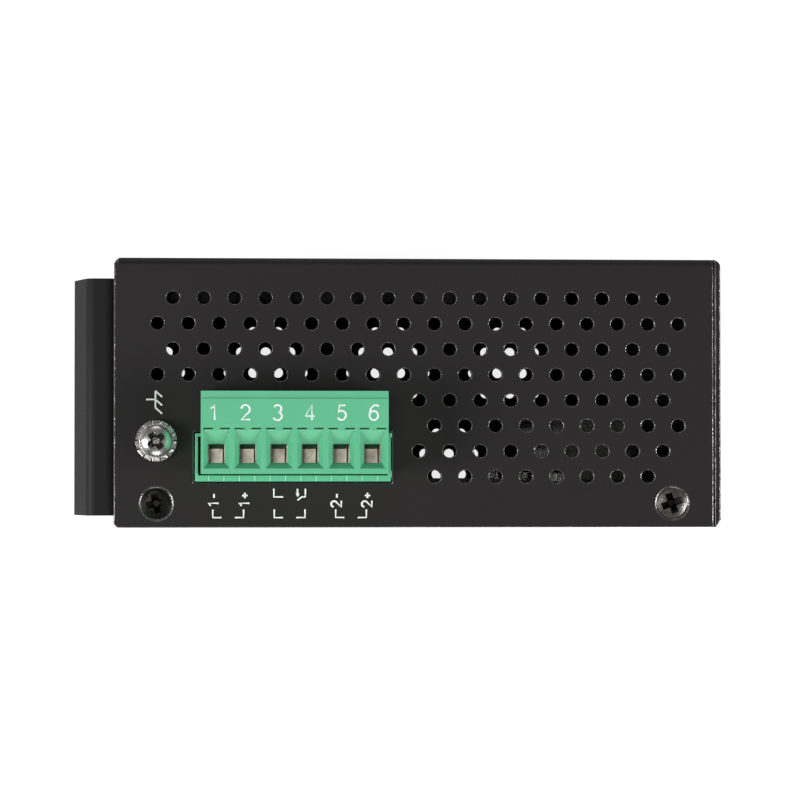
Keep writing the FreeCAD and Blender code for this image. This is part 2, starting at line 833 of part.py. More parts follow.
def funnel(y):
    """Cutter for one wire entry: a tapered mouth that ends in a rectangular hole."""
    mouth_high = plug_high - funnel_top
    hole_high = plug_high - entry_top
    half = entry_width / 2
    mouth_half = funnel_width / 2
    mouth = Part.makeWedge(hole_high - entry_height, plug_top - funnel_depth, -half,
                           -mouth_half, mouth_high - funnel_height,
                           hole_high, plug_top + 0.01, half, mouth_half, mouth_high)
    mouth.rotate(Vector(0, 0, 0), Vector(1, 0, 0), 90)
    mouth.translate(Vector(0, y, 0))
    hole = block((hole_high - entry_height, hole_high), (y - half, y + half),
                 (chamber_z()[1] - 0.5, plug_top - funnel_depth + 0.1))
    return mouth.fuse(hole)


def funnel_nub(y):
    """Small block at the middle of a mouth's upper edge."""
    high = plug_high - funnel_top
    return block((high - nub_height, high + 0.3), (y - nub_width / 2, y + nub_width / 2),
                 (plug_top - 0.9, plug_top - label_band_step))


def plug_outline():
    """Side view of the plug: a block over the header's rim and a skirt that goes into the header."""
    skirt_high = board_face + header_height - header_roof - plug_gap
    low = terminal_top - skirt_depth
    band = plug_high - top_band
    label = band - label_band
    lead = 0.6
    return [(plug_low, low + lead), (plug_low + lead, low), (skirt_high - lead, low),
            (skirt_high, low + lead),
            (skirt_high, plug_seat), (plug_high - lead, plug_seat), (plug_high, plug_seat + lead),
            (plug_high, plug_top - top_band_step), (band, plug_top - top_band_step), (band, plug_top),
            (label, plug_top), (label, plug_top - label_band_step), (plug_low, plug_top - label_band_step)]


def terminal_plug():
    """Moulded body with six wire entries, six screw wells and chambers for clamps and contacts."""
    half = plug_width / 2
    body = prism(plug_outline(), "xz", terminal_y - half, terminal_y + half)
    chamber = clamp_width / 2 + clamp_gap
    low, high = chamber_z()
    skirt_low = terminal_top - skirt_depth
    leaf_half = bar_width / 2 + clamp_gap
    leaf_low = bar_low_leaf() - clamp_gap
    leaf_high = board_face + pin_height + pin_size / 2 + leaf_gap + bar_sheet + clamp_gap
    bar_high = bar_low() + bar_sheet + clamp_gap
    well_width = clamp_head_diameter + 2 * clamp_gap
    well_floor = plug_high - clamp_head_recess - clamp_head_height - clamp_gap
    cutters = []
    nubs = []
    for y in pole_positions:
        across = (y - leaf_half, y + leaf_half)
        cutters.append(funnel(y))
        cutters.append(block((clamp_low() - clamp_gap, clamp_high() + clamp_travel + clamp_gap),
                             (y - chamber, y + chamber), (low, high)))
        cutters.append(block((leaf_low, bar_high), across, (stop_z()[0], low + 0.1)))
        cutters.append(block((leaf_low, leaf_high), across, (skirt_low - 1, stop_z()[1])))
        centre = (0, y, screw_z())
        cutters.append(bar("x", centre, well_width, well_floor, plug_high + 1, well_sides))
        cutters.append(bar("x", centre, clamp_thread + 2 * clamp_gap, bar_high - 1, well_floor + 1))
        nubs.append(funnel_nub(y))
    return body.cut(cutters).multiFuse(nubs)


def bar_low_leaf():
    """Underside of the lower contact leaf, which grips the pin from below."""
    return board_face + pin_height - pin_size / 2 - leaf_gap - bar_sheet


def stop_z():
    """Height range of the contact strip's upright part, a stop behind the clamp for the wire's end."""
    top = chamber_z()[0] - clamp_gap
    return (top - bar_sheet, top)


def plug_contacts():
    """Folded strips, one a pole: a bar over the wire, a stop behind it and two leaves round the pin."""
    mid = bar_sheet / 2
    stop = sum(stop_z()) / 2
    top_bar = bar_low() + mid
    low_leaf = bar_low_leaf() + mid
    high_leaf = board_face + pin_height + pin_size / 2 + leaf_gap + mid
    leaf_end = stop - leaf_length
    strips = []
    for y in pole_positions:
        y_range = (y - bar_width / 2, y + bar_width / 2)
        strip = folded([(top_bar, chamber_z()[1] - bar_setback), (top_bar, stop), (low_leaf, stop),
                        (low_leaf, leaf_end)], bar_sheet, [None, None], "xz", *y_range)
        leaf = block((high_leaf - mid, high_leaf + mid), y_range, (leaf_end, stop))
        strips.append(joined(strip, leaf))
    return Part.makeCompound(strips)


def clamp_screw(y):
    """Slotted screw that turns in the plug and draws its clamp up."""
    seat = plug_high - clamp_head_recess - clamp_head_height
    head = clamp_head_diameter / 2
    radius = clamp_thread / 2
    length = seat - bar_low() - bar_sheet - clamp_gap
    outline = [(0, clamp_head_height), (head, clamp_head_height), (head, 0), (radius, 0), (radius, -length),
               (0, -length)]
    slot = block((-head, head), (-clamp_slot_width / 2, clamp_slot_width / 2),
                 (clamp_head_height - clamp_slot_depth, clamp_head_height + 1))
    return aimed(turned(outline).cut(slot), (seat, y, screw_z()), (-1, 0, 0))


def wire_clamp(y):
    """Loop of strip round the contact bar, tapped on its upper side."""
    low = clamp_low()
    high = clamp_high()
    half = clamp_width / 2
    z_range = (screw_z() - clamp_depth / 2, screw_z() + clamp_depth / 2)
    loop = bevelled_box((low, high), (y - half, y + half), z_range, clamp_corner, "z")
    inner = half - clamp_wall
    opening = block((low + clamp_strap, high - clamp_nut), (y - inner, y + inner),
                    (z_range[0] - 1, z_range[1] + 1))
    hole = bar("x", (0, y, screw_z()), clamp_thread + 2 * thread_gap, high - clamp_nut - 1, high + 1)
    return loop.cut([opening, hole])


# ---- RJ45 sockets ----------------------------------------------------------------------------------------
def cavity_x():
    """Range of a socket's cavity above the board, without its latch notch."""
    return (board_face + cavity_floor, board_face + cavity_floor + cavity_height)


def socket_cavity(z, margin):
    """Cutter for the cavity of a socket, grown by a margin all round."""
    low, high = cavity_x()
    half = cavity_width / 2 + margin
    latch = latch_width / 2 + margin
    main = block((low - margin, high + margin), (socket_front - 1, socket_front + cavity_depth),
                 (z - half, z + half))
    notch = block((low, high + latch_height + margin), (socket_front - 1, socket_front + cavity_depth),
                  (z - latch, z + latch))
    return main.fuse(notch)


def rj45_shield(z):
    """Thin steel can round a socket, open at the front and towards the board."""
    half = socket_width / 2
    mid = shield_sheet / 2
    back = socket_front + socket_depth
    can = folded([(board_face + 0.1, z - half + mid), (socket_top - mid, z - half + mid),
                  (socket_top - mid, z + half - mid), (board_face + 0.1, z + half - mid)],
                 shield_sheet, [None, None], "xz", socket_front, back)
    inner = half - mid
    face = block((board_face + 0.1, socket_top - mid), (socket_front, socket_front + shield_sheet),
                 (z - inner, z + inner))
    rear_wall = block((board_face + 0.1, socket_top - mid), (back - shield_sheet, back),
                      (z - inner, z + inner))
    front_opening = socket_cavity(z, 0.3).common(block((board_face, socket_top),
                                                       (socket_front - 1, socket_front + 1),
                                                       (z - half, z + half)))
    return joined(can, face.cut(front_opening), rear_wall)


def rj45_insert(z):
    """Moulded body inside the shield, with the stepped cavity for a cable's plug."""
    side = socket_width / 2 - shield_sheet - shield_gap
    near = socket_front + shield_sheet + shield_gap
    far = socket_front + socket_depth - shield_sheet - shield_gap
    body = block((board_face, socket_top - shield_sheet - shield_gap), (near, far), (z - side, z + side))
    return body.cut(socket_cavity(z, 0))


def rj45_contacts(z):
    """Spring wires that lie on the cavity's floor and rise towards its back."""
    floor = cavity_x()[0] + contact_wire / 2
    near = socket_front + contact_setback
    path = [(floor, near + contact_length), (floor, near), (floor + contact_rise, near + contact_run)]
    half = contact_wire / 2
    wires = []
    for index in range(contact_count):
        middle = z + (index - (contact_count - 1) / 2) * contact_pitch
        wires.append(folded(path, contact_wire, [None], "xy", middle - half, middle + half))
    return Part.makeCompound(wires)


# ---- indicator lamps -------------------------------------------------------------------------------------
def lamp_positions():
    """Lamps' distances along X, the first one next to the board."""
    return [board_face + lamp_height + lamp_pitch * index for index in range(lamp_count)]


def lamp_holder():
    """Block that carries the lamps above the board."""
    half = lamp_holder_width / 2
    far = front + sheet + socket_gap + lamp_holder_depth
    top = lamp_positions()[-1] + lamp_height
    body = bevelled_box((board_face, top), (front + sheet + socket_gap, far), (lamp_z - half, lamp_z + half),
                        0.4, "y")
    bore = lamp_diameter + 2 * lamp_gap
    bores = [bar("y", (x, 0, lamp_z), bore, front, far - lamp_holder_wall, lamp_sides)
             for x in lamp_positions()]
    return body.cut(bores)


def status_lamps():
    """Round-nosed lamps that look out through the front wall."""
    radius = lamp_diameter / 2
    length = sheet + socket_gap + lamp_holder_depth - lamp_holder_wall
    outline = [(0, 0), (0.5 * radius, 0), (radius, -lamp_nose), (radius, -length), (0, -length)]
    lamp = faceted(outline, lamp_sides)
    return Part.makeCompound([aimed(lamp, (x, front, lamp_z), (0, 1, 0)) for x in lamp_positions()])


# ---- parts on the board ----------------------------------------------------------------------------------
def on_board(y, z, size_y, size_z, height, bevel):
    """Block that stands on the board, with a bevel round its top."""
    body = block((board_face, board_face + height), (y - size_y / 2, y + size_y / 2),
                 (z - size_z / 2, z + size_z / 2))
    top = [edge for edge in body.Edges if edge.CenterOfMass.x > board_face + height - 0.01]
    return body.makeChamfer(bevel, top)


def switch_chip():
    """Square chip package with a bevelled rim."""
    return on_board(rear - chip_from_rear, chip_z, chip_size, chip_size, chip_height, 0.25)


def heat_sink():
    """Extruded heat sink on the chip, its section a comb."""
    y = rear - chip_from_rear
    base = board_face + chip_height
    half = sink_size / 2
    gap = (sink_size - sink_fins * sink_fin) / (sink_fins - 1)
    outline = [(base, y - half)]
    for index in range(sink_fins):
        start = y - half + index * (sink_fin + gap)
        if index:
            outline.append((base + sink_base, start))
        outline.append((base + sink_height, start))
        outline.append((base + sink_height, start + sink_fin))
        if index < sink_fins - 1:
            outline.append((base + sink_base, start + sink_fin))
    outline.append((base, y + half))
    return prism(outline, "xy", chip_z - half, chip_z + half)


def bulk_capacitors():
    """Row of electrolytic cans with a rolled groove near the base."""
    radius = capacitor_diameter / 2
    groove = 0.4
    outline = [(0, 0), (radius, 0), (radius, 1.2), (radius - groove, 1.6), (radius, 2.0),
               (radius, capacitor_height), (0, capacitor_height)]
    can = faceted(outline, capacitor_sides)
    y = rear - capacitor_from_rear
    first = board_high - capacitor_from_top
    return Part.makeCompound([aimed(can, (board_face, y, first - index * capacitor_pitch), (-1, 0, 0))
                              for index in range(capacitor_count)])


def power_inductors():
    """Shielded square inductors."""
    y = rear - inductor_from_rear
    return Part.makeCompound([on_board(y, inductor_z + index * inductor_pitch, inductor_size, inductor_size,
                                       inductor_height, 0.8) for index in range(inductor_count)])


def fault_relay():
    """Sealed relay for the alarm contact."""
    return on_board(rear - relay_from_rear, relay_z, relay_width, relay_length, relay_height, 0.4)


def power_transformer():
    """Ferrite core with a bobbin whose flanges stand out at both ends."""
    y = rear - transformer_from_rear
    core = on_board(y, transformer_z, transformer_width, 0.55 * transformer_length, transformer_height, 0.5)
    flange = 1.2
    pieces = [core]
    for side in (-1, 1):
        edge = transformer_z + side * transformer_length / 2
        span = sorted((edge, edge - side * flange))
        pieces.append(block((board_face, board_face + 0.8 * transformer_height),
                            (y - 0.45 * transformer_width, y + 0.45 * transformer_width), span))
    windings = bar("z", (board_face + 0.42 * transformer_height, y, 0), 0.72 * transformer_height,
                   transformer_z - transformer_length / 2, transformer_z + transformer_length / 2,
                   capacitor_sides)
    return joined(*pieces, windings)


# ---- all nodes -------------------------------------------------------------------------------------------
def nodes():
    """Every node's name and solids."""
    made = {
        "case_shell": case_shell(),
        "side_cover": side_cover(),
        "cover_screws": cover_screws(),
        "din_bracket": din_bracket(),
        "din_spring": din_spring(),
        "bracket_screws": bracket_screws(),
        "lock_washer": lock_washer(),
        "earth_screw": earth_screw(),
        "earth_nut": earth_nut(),
        "main_board": main_board(),
        "board_standoffs": board_standoffs(),
        "board_screws": board_screws(),
        "terminal_header": terminal_header(),
        "header_pins": header_pins(),
        "terminal_plug": terminal_plug(),
        "plug_contacts": plug_contacts(),
        "lamp_holder": lamp_holder(),
        "status_lamps": status_lamps(),
        "switch_chip": switch_chip(),
        "heat_sink": heat_sink(),
        "bulk_capacitors": bulk_capacitors(),
        "power_inductors": power_inductors(),
        "fault_relay": fault_relay(),
        "power_transformer": power_transformer(),
    }
    for index, y in enumerate(pole_positions, start=1):
        made[f"clamp_screw_{index}"] = clamp_screw(y)
        made[f"wire_clamp_{index}"] = wire_clamp(y)
    for index, z in enumerate(socket_positions, start=1):
        made[f"rj45_shield_{index}"] = rj45_shield(z)
        made[f"rj45_insert_{index}"] = rj45_insert(z)
        made[f"rj45_contacts_{index}"] = rj45_contacts(z)
    return made


os.makedirs("parts", exist_ok=True)
for node, solids in nodes().items():
    solids.exportStep(f"parts/{node}.step")
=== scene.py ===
import json
import math

import bmesh
import bpy
from mathutils import Matrix, Vector


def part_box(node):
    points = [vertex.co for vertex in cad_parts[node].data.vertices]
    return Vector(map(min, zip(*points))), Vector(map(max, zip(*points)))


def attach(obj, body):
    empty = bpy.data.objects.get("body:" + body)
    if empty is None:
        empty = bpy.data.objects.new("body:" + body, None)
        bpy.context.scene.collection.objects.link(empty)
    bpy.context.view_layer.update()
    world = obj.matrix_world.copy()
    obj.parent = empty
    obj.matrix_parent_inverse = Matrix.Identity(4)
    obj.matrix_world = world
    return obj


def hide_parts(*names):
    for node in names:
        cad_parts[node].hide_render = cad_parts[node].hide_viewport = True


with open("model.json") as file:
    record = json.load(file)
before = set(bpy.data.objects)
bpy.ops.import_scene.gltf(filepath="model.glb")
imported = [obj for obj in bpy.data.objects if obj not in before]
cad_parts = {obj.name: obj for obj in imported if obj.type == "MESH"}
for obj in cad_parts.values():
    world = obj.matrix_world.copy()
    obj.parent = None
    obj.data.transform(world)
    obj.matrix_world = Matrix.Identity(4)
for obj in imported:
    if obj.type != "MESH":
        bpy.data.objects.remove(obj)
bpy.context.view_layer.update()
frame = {"nodes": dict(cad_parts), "record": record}

MM = 0.001

# ---- sizes of the switch, in millimetres ---------------------------------------------------------
SHEET = 1.0                 # case steel
BEND_OUTSIDE = 1.2
BEND_FACETS = 6
SEAM = 0.2
EDGE_BREAK = 0.2            # punched edges rolled over and coated
REAR_CORNER = 0.6           # bevel at the rear free corner beside the cover
FRONT_CORNER_X = 1.25       # and at the front one
FRONT_CORNER_Y = 0.75
FOLD_RELIEF = 0.58          # notch at the rear end of each fold
FOLD_RELIEF_WIDTH = 0.8
PAST = 1.0                  # how far a cutter reaches past the sheet
JOINED = 0.001              # mesh corners nearer than this are one
VENT_DIAMETER = 2.1
VENT_SIDES = 28
VENT_PITCH = 5.1
VENT_ROW_PITCH = 4.23
VENT_FULL_ROWS = 4
VENT_HALF_ROWS = 4
VENT_SIDE_MARGIN = 6.65
VENT_END_MARGIN = 7.15
VENT_SCREW_CLEARANCE = 5.0
LOWER_VENT_MARGIN = 15.0
COVER_SCREW_FROM_SIDE = 4.0
COVER_SCREW_FROM_REAR = 7.0
COVER_SCREW_FROM_FRONT = 8.2
COUNTERSINK_DIAMETER = 5.5
SCREW_HOLE_DIAMETER = 3.2
HEADER_WINDOW_GAP = 0.2
SOCKET_WINDOW_INSET = 0.9
SOCKETS = 5
LAMPS = 3
LAMP_HOLE_DIAMETER = 3.3
LAMP_FROM_END = 1.5         # outer lamps' middles from the ends of the row
FLAT_HEAD_DIAMETER = 5.3
FLAT_HEAD_RIM = 0.22        # upright rim of a countersunk head
FLAT_HEAD_BEVEL = 0.12
FLAT_HEAD_BEVEL_DEPTH = 0.1
SCREW_SHANK_DIAMETER = 3.0
SCREW_TIP_BEVEL = 0.3
COVER_SCREW_LENGTH = 5.0
FLAT_RECESS_SPAN = 0.64     # of the head's diameter
FLAT_RECESS_DEPTH = 1.3
WORN_DEPTH = 0.25           # below a head's flat
WING_WIDTH = 0.32           # of a recess's span
RECESS_MIDDLE = 0.5
WING_FOOT_LENGTH = 0.3      # bottom of a recess, as shares of its size at the face
WING_FOOT_WIDTH = 0.5
RECESS_PAST = 0.3           # how far its cutter rises past the face
EARTH_HEAD_DIAMETER = 5.3
EARTH_HEAD_HEIGHT = 2.4
EARTH_HEAD_BRIM = 0.42      # height of the head's upright part, as a share
EARTH_HEAD_BEVEL = 0.12
EARTH_HEAD_SIDES = 56
EARTH_SHANK_DIAMETER = 4.0
EARTH_TIP_BEVEL = 0.4
EARTH_HOLE_DIAMETER = 4.3
EARTH_RECESS_SPAN = 3.6
EARTH_RECESS_DEPTH = 1.7
EARTH_RECESS_TURN = 38
WASHER_HOLE = 4.3
WASHER_BODY = 5.6
WASHER_DIAMETER = 6.9
WASHER_SHEET = 0.5
WASHER_TEETH = 14
TOOTH_SHARE = 0.86          # of the ring that the teeth take up
TOOTH_TWIST = 0.14
POLES = 6
POLE_PITCH = 5.08
NUMBER_PITCH = 5.2
MOUTH_FROM_TOP = 6.0        # wire mouth under the plug's screw side
MOUTH_WIDTH = 4.3
ENTRY_FROM_TOP = 8.63       # wire entry under the plug's screw side
MOUTH_SLOT = 0.26
MOUTH_SLOT_DEPTH = 1.3
NIB_WIDTH = 1.15
BAR_BEHIND_ENTRY = 2.3      # contact bar ends this much deeper than its clamp
BAR_END = 0.3               # stretch of the strips that is moved back with it
# openings in the strips behind a wire entry: reach from its screw side, and span along the row
ENTRY_OPENINGS = ((0.75, -1.02, 1.25), (3.0, -1.6, -1.04))
HEADER_RIB_OFFSET = 1.27    # from a pole's middle
HEADER_RIB_WIDTH = 0.2
HEADER_RIB_HEIGHT = 0.1
PLASTIC_EDGE = 0.1


def corners(node):
    """Lowest and highest corner of a CAD node, in millimetres."""
    low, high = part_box(node)
    return Vector(low) / MM, Vector(high) / MM


case_low, case_high = corners("case_shell")
plug_low, plug_high = corners("terminal_plug")
header_low, header_high = corners("terminal_header")
screw_low, screw_high = corners("earth_screw")
board_high = corners("main_board")[1]
TOP = case_high.z
EARTH_SPOT = ((screw_low.x + screw_high.x) / 2, (screw_low.y + screw_high.y) / 2)
PLUG_MIDDLE = (plug_low.y + plug_high.y) / 2
POLE_YS = [PLUG_MIDDLE + (POLES / 2 - 0.5 - index) * POLE_PITCH for index in range(POLES)]


# ---- shader node helpers -------------------------------------------------------------------------
class Wiring:
    """Short hand for placing and joining shader nodes in one tree."""

    def __init__(self, tree):
        self.tree = tree

    def put(self, kind, settings=None, inputs=None):
        """A node of a kind, with its settings and with values or joined sockets for its inputs."""
        node = self.tree.nodes.new(kind)
        for name, value in (settings or {}).items():
            setattr(node, name, value)
        for name, value in (inputs or {}).items():
            self.feed(value, node.inputs[name])
        return node

    def feed(self, value, socket):
        """A value set on a socket, or another socket joined to it."""
        if isinstance(value, bpy.types.NodeSocket):
            self.tree.links.new(value, socket)
        else:
            socket.default_value = value

    def remap(self, value, low, high):
        """A 0 to 1 value spread between low and high."""
        node = self.put("ShaderNodeMapRange", {}, {"Value": value, "To Min": low, "To Max": high})
        return node.outputs["Result"]

    def blend(self, mask, first, second):
        """Colour between first and second."""
        node = self.put("ShaderNodeMix", {"data_type": "RGBA"})
        self.feed(mask, node.inputs[0])
        self.feed(first, node.inputs[6])
        self.feed(second, node.inputs[7])
        return node.outputs[2]

    def sum(self, first, second, operation="ADD"):
        """Two values added, or joined by another operation."""
        node = self.put("ShaderNodeMath", {"operation": operation})
        self.feed(first, node.inputs[0])
        self.feed(second, node.inputs[1])
        return node.outputs[0]


def effect_group(name, inputs, outputs):
    """New shader node group with named inputs and outputs, each (name, kind, value)."""
    group = bpy.data.node_groups.new(name, "ShaderNodeTree")
    for label, kind, value in inputs:
        socket = group.interface.new_socket(label, in_out="INPUT", socket_type=kind)
        socket.default_value = value
    for label, kind in outputs:
        group.interface.new_socket(label, in_out="OUTPUT", socket_type=kind)
    wiring = Wiring(group)
    return group, wiring, wiring.put("NodeGroupInput"), wiring.put("NodeGroupOutput")


FLOAT = "NodeSocketFloat"
COLOR = "NodeSocketColor"


def surface_position(wiring):
    """Place on the object, which doesn't slide when it moves."""
    return wiring.put("ShaderNodeTexCoord").outputs["Object"]


def make_fine_grain():
    """Even fine relief, as on powder coat or moulded plastic."""
    group, wiring, given, result = effect_group(
        "fine_grain", [("Grains per mm", FLOAT, 3.0), ("Softness", FLOAT, 0.5)],
        [("Height", FLOAT), ("Fleck", FLOAT)])
    scale = wiring.sum(given.outputs["Grains per mm"], 1 / MM, "MULTIPLY")
    position = surface_position(wiring)
    relief = wiring.put("ShaderNodeTexNoise", {}, {"Vector": position, "Scale": scale, "Detail": 2.0,
                                                   "Roughness": given.outputs["Softness"]})
    fleck = wiring.put("ShaderNodeTexVoronoi", {"feature": "F1"}, {"Vector": position, "Scale": scale})
    wiring.feed(relief.outputs["Fac"], result.inputs["Height"])
    wiring.feed(wiring.remap(fleck.outputs["Distance"], 1.0, 0.0), result.inputs["Fleck"])
    return group


def make_uneven_tone():
    """A colour that drifts a little lighter and darker over the surface."""
    inputs = [("Color", COLOR, (0.5, 0.5, 0.5, 1)), ("Patch size mm", FLOAT, 12.0), ("Amount", FLOAT, 0.1)]
    group, wiring, given, result = effect_group("uneven_tone", inputs, [("Color", COLOR), ("Patch", FLOAT)])
    scale = wiring.sum(1 / MM, given.outputs["Patch size mm"], "DIVIDE")
    noise = wiring.put("ShaderNodeTexNoise", {},
                       {"Vector": surface_position(wiring), "Scale": scale, "Detail": 3.0})
    patch = noise.outputs["Fac"]
    drift = wiring.sum(wiring.sum(patch, 0.5, "SUBTRACT"), given.outputs["Amount"], "MULTIPLY")
    value = wiring.sum(wiring.sum(drift, 2.0, "MULTIPLY"), 1.0)
    shifted = wiring.put("ShaderNodeHueSaturation", {}, {"Color": given.outputs["Color"], "Value": value})
    wiring.feed(shifted.outputs["Color"], result.inputs["Color"])
    wiring.feed(patch, result.inputs["Patch"])
    return group


def make_fine_scratches():
    """Long fine lines along one direction, as left by rolling, drawing or turning."""
    group, wiring, given, result = effect_group(
        "fine_scratches", [("Lines per mm", FLOAT, 8.0), ("Stretch", FLOAT, 20.0)], [("Line", FLOAT)])
    across = wiring.sum(given.outputs["Lines per mm"], 1 / MM, "MULTIPLY")
    along = wiring.sum(across, given.outputs["Stretch"], "DIVIDE")
    scale = wiring.put("ShaderNodeCombineXYZ", {}, {"X": across, "Y": across, "Z": along})
    spread = wiring.put("ShaderNodeVectorMath", {"operation": "MULTIPLY"})
    wiring.feed(surface_position(wiring), spread.inputs[0])
    wiring.feed(scale.outputs["Vector"], spread.inputs[1])
    noise = wiring.put("ShaderNodeTexNoise", {},
                       {"Vector": spread.outputs["Vector"], "Scale": 1.0, "Detail": 2.0})
    wiring.feed(noise.outputs["Fac"], result.inputs["Line"])
    return group


FINE_GRAIN = make_fine_grain()
UNEVEN_TONE = make_uneven_tone()
FINE_SCRATCHES = make_fine_scratches()


def srgb(red, green, blue):
    """Linear colour from the 0 to 255 values that a screen shows."""
    def linear(value):
        value /= 255
        return value / 12.92 if value <= 0.04045 else ((value + 0.055) / 1.055) ** 2.4
    return (linear(red), linear(green), linear(blue), 1.0)


def finish_material(name, color, metallic=0.0, roughness=0.5, specular=0.5):
    """New material with its shader and the wiring that its maker goes on with."""
    material = bpy.data.materials.new(name)
    material.use_nodes = True
    material.node_tree.nodes.clear()
    wiring = Wiring(material.node_tree)
    shader = wiring.put("ShaderNodeBsdfPrincipled", {},
                        {"Metallic": metallic, "Roughness": roughness, "Specular IOR Level": specular,
                         "Base Color": color})
    wiring.put("ShaderNodeOutputMaterial", {}, {"Surface": shader.outputs["BSDF"]})
    return material, wiring, shader


def use_group(wiring, group, inputs):
    """One of the shared effects, placed in a material with its own values."""
    return wiring.put("ShaderNodeGroup", {"node_tree": group}, inputs).outputs


def give_bump(wiring, shader, height, depth_mm):
    """Surface relief of a depth, from a 0 to 1 height."""
    bump = wiring.put("ShaderNodeBump", {}, {"Height": height, "Distance": depth_mm * MM})
    wiring.feed(bump.outputs["Normal"], shader.inputs["Normal"])


# ---- looks ---------------------------------------------------------------------------------------
def textured_coat(name, color, grains, depth_mm, roughness, specular, ior=1.5):
    """Powder coat: fine orange peel, small lighter flecks and a slightly uneven sheen."""
    material, wiring, shader = finish_material(name, color, roughness=roughness, specular=specular)
    grain = use_group(wiring, FINE_GRAIN, {"Grains per mm": grains, "Softness": 0.55})
    tone = use_group(wiring, UNEVEN_TONE, {"Color": color, "Patch size mm": 18.0, "Amount": 0.05})
    fleck = wiring.put("ShaderNodeMapRange", {},
                       {"Value": grain["Fleck"], "From Min": 0.82, "From Max": 0.97, "To Max": 0.5})
    light = tuple(min(1.0, 1.9 * part + 0.01) for part in color[:3]) + (1.0,)
    wiring.feed(wiring.blend(fleck.outputs["Result"], tone["Color"], light), shader.inputs["Base Color"])
    gloss = wiring.remap(grain["Height"], roughness - 0.08, roughness + 0.1)
    wiring.feed(gloss, shader.inputs["Roughness"])
    shader.inputs["IOR"].default_value = ior
    give_bump(wiring, shader, grain["Height"], depth_mm)
    return material


def moulded_plastic(name, color, roughness, amount=0.04, depth_mm=0.004, specular=0.5, subsurface=0.0):
    """Moulded plastic: faint spark-eroded grain and slight drift in colour."""
    material, wiring, shader = finish_material(name, color, roughness=roughness, specular=specular)
    grain = use_group(wiring, FINE_GRAIN, {"Grains per mm": 5.0, "Softness": 0.4})
    tone = use_group(wiring, UNEVEN_TONE, {"Color": color, "Patch size mm": 5.0, "Amount": amount})
    wiring.feed(tone["Color"], shader.inputs["Base Color"])
    gloss = wiring.remap(grain["Height"], roughness - 0.07, roughness + 0.09)
    wiring.feed(gloss, shader.inputs["Roughness"])
    shader.inputs["Subsurface Weight"].default_value = subsurface
    shader.inputs["Subsurface Radius"].default_value = (0.4 * MM, 0.8 * MM, 0.5 * MM)
    shader.inputs["Subsurface Scale"].default_value = 1.0
    give_bump(wiring, shader, grain["Height"], depth_mm)
    return material


def plated_metal(name, color, roughness, lines=10.0, stretch=12.0, stain=None, amount=0.08,
                 relief_mm=0.003):
    """Plated or bare metal with fine lines and cloudy patches, a little stained where asked."""
    material, wiring, shader = finish_material(name, color, metallic=1.0, roughness=roughness)
    scratches = use_group(wiring, FINE_SCRATCHES, {"Lines per mm": lines, "Stretch": stretch})
    tone = use_group(wiring, UNEVEN_TONE, {"Color": color, "Patch size mm": 1.5, "Amount": amount})
    surface = tone["Color"]
    if stain:
        surface = wiring.blend(wiring.remap(tone["Patch"], -0.6, 1.1), surface, stain)
    wiring.feed(surface, shader.inputs["Base Color"])
    spread = wiring.sum(scratches["Line"], tone["Patch"], "MULTIPLY")
    gloss = wiring.remap(spread, max(0.05, roughness - 0.12), roughness + 0.25)
    wiring.feed(gloss, shader.inputs["Roughness"])
    give_bump(wiring, shader, scratches["Line"], relief_mm)
    return material


def board_mask(name):
    """Circuit board: green mask with copper tracks showing lighter under it and fine bare pads."""
    color = srgb(18, 70, 42)
    track_color = srgb(34, 104, 62)
    material, wiring, shader = finish_material(name, color, roughness=0.35)
    position = surface_position(wiring)
    cells = wiring.put("ShaderNodeTexVoronoi", {"feature": "F1", "distance": "MANHATTAN"},
                       {"Vector": position, "Scale": 0.28 / MM, "Randomness": 0.7})
    lines = wiring.put("ShaderNodeTexWave", {"wave_type": "BANDS", "bands_direction": "Z"},
                       {"Vector": position, "Scale": 0.35 / MM, "Distortion": 0.0})
    track = wiring.sum(wiring.sum(cells.outputs["Distance"], 0.34, "LESS_THAN"),
                       wiring.sum(lines.outputs["Fac"], 0.62, "GREATER_THAN"), "MULTIPLY")
    tone = use_group(wiring, UNEVEN_TONE, {"Color": color, "Patch size mm": 9.0, "Amount": 0.06})
    wiring.feed(wiring.blend(track, tone["Color"], track_color), shader.inputs["Base Color"])
    give_bump(wiring, shader, track, 0.03)
    return material


def printed_ink(name, color):
    """Screen printed ink: matt, with fine pinholes."""
    material, wiring, shader = finish_material(name, color, roughness=0.6, specular=0.3)
    grain = use_group(wiring, FINE_GRAIN, {"Grains per mm": 6.0, "Softness": 0.7})
    worn = tuple(0.82 * part for part in color[:3]) + (1.0,)
    cover = wiring.remap(grain["Height"], -0.4, 1.2)
    wiring.feed(wiring.blend(cover, worn, color), shader.inputs["Base Color"])
    give_bump(wiring, shader, grain["Height"], 0.004)
    return material


def clear_moulding(name, color):
    """Clear lamp plastic with faint flow lines."""
    material, wiring, shader = finish_material(name, color, roughness=0.15)
    shader.inputs["Transmission Weight"].default_value = 0.6
    shader.inputs["IOR"].default_value = 1.49
    flow = use_group(wiring, FINE_SCRATCHES, {"Lines per mm": 1.5, "Stretch": 3.0})
    wiring.feed(wiring.remap(flow["Line"], 0.08, 0.25), shader.inputs["Roughness"])
    give_bump(wiring, shader, flow["Line"], 0.01)
    return material


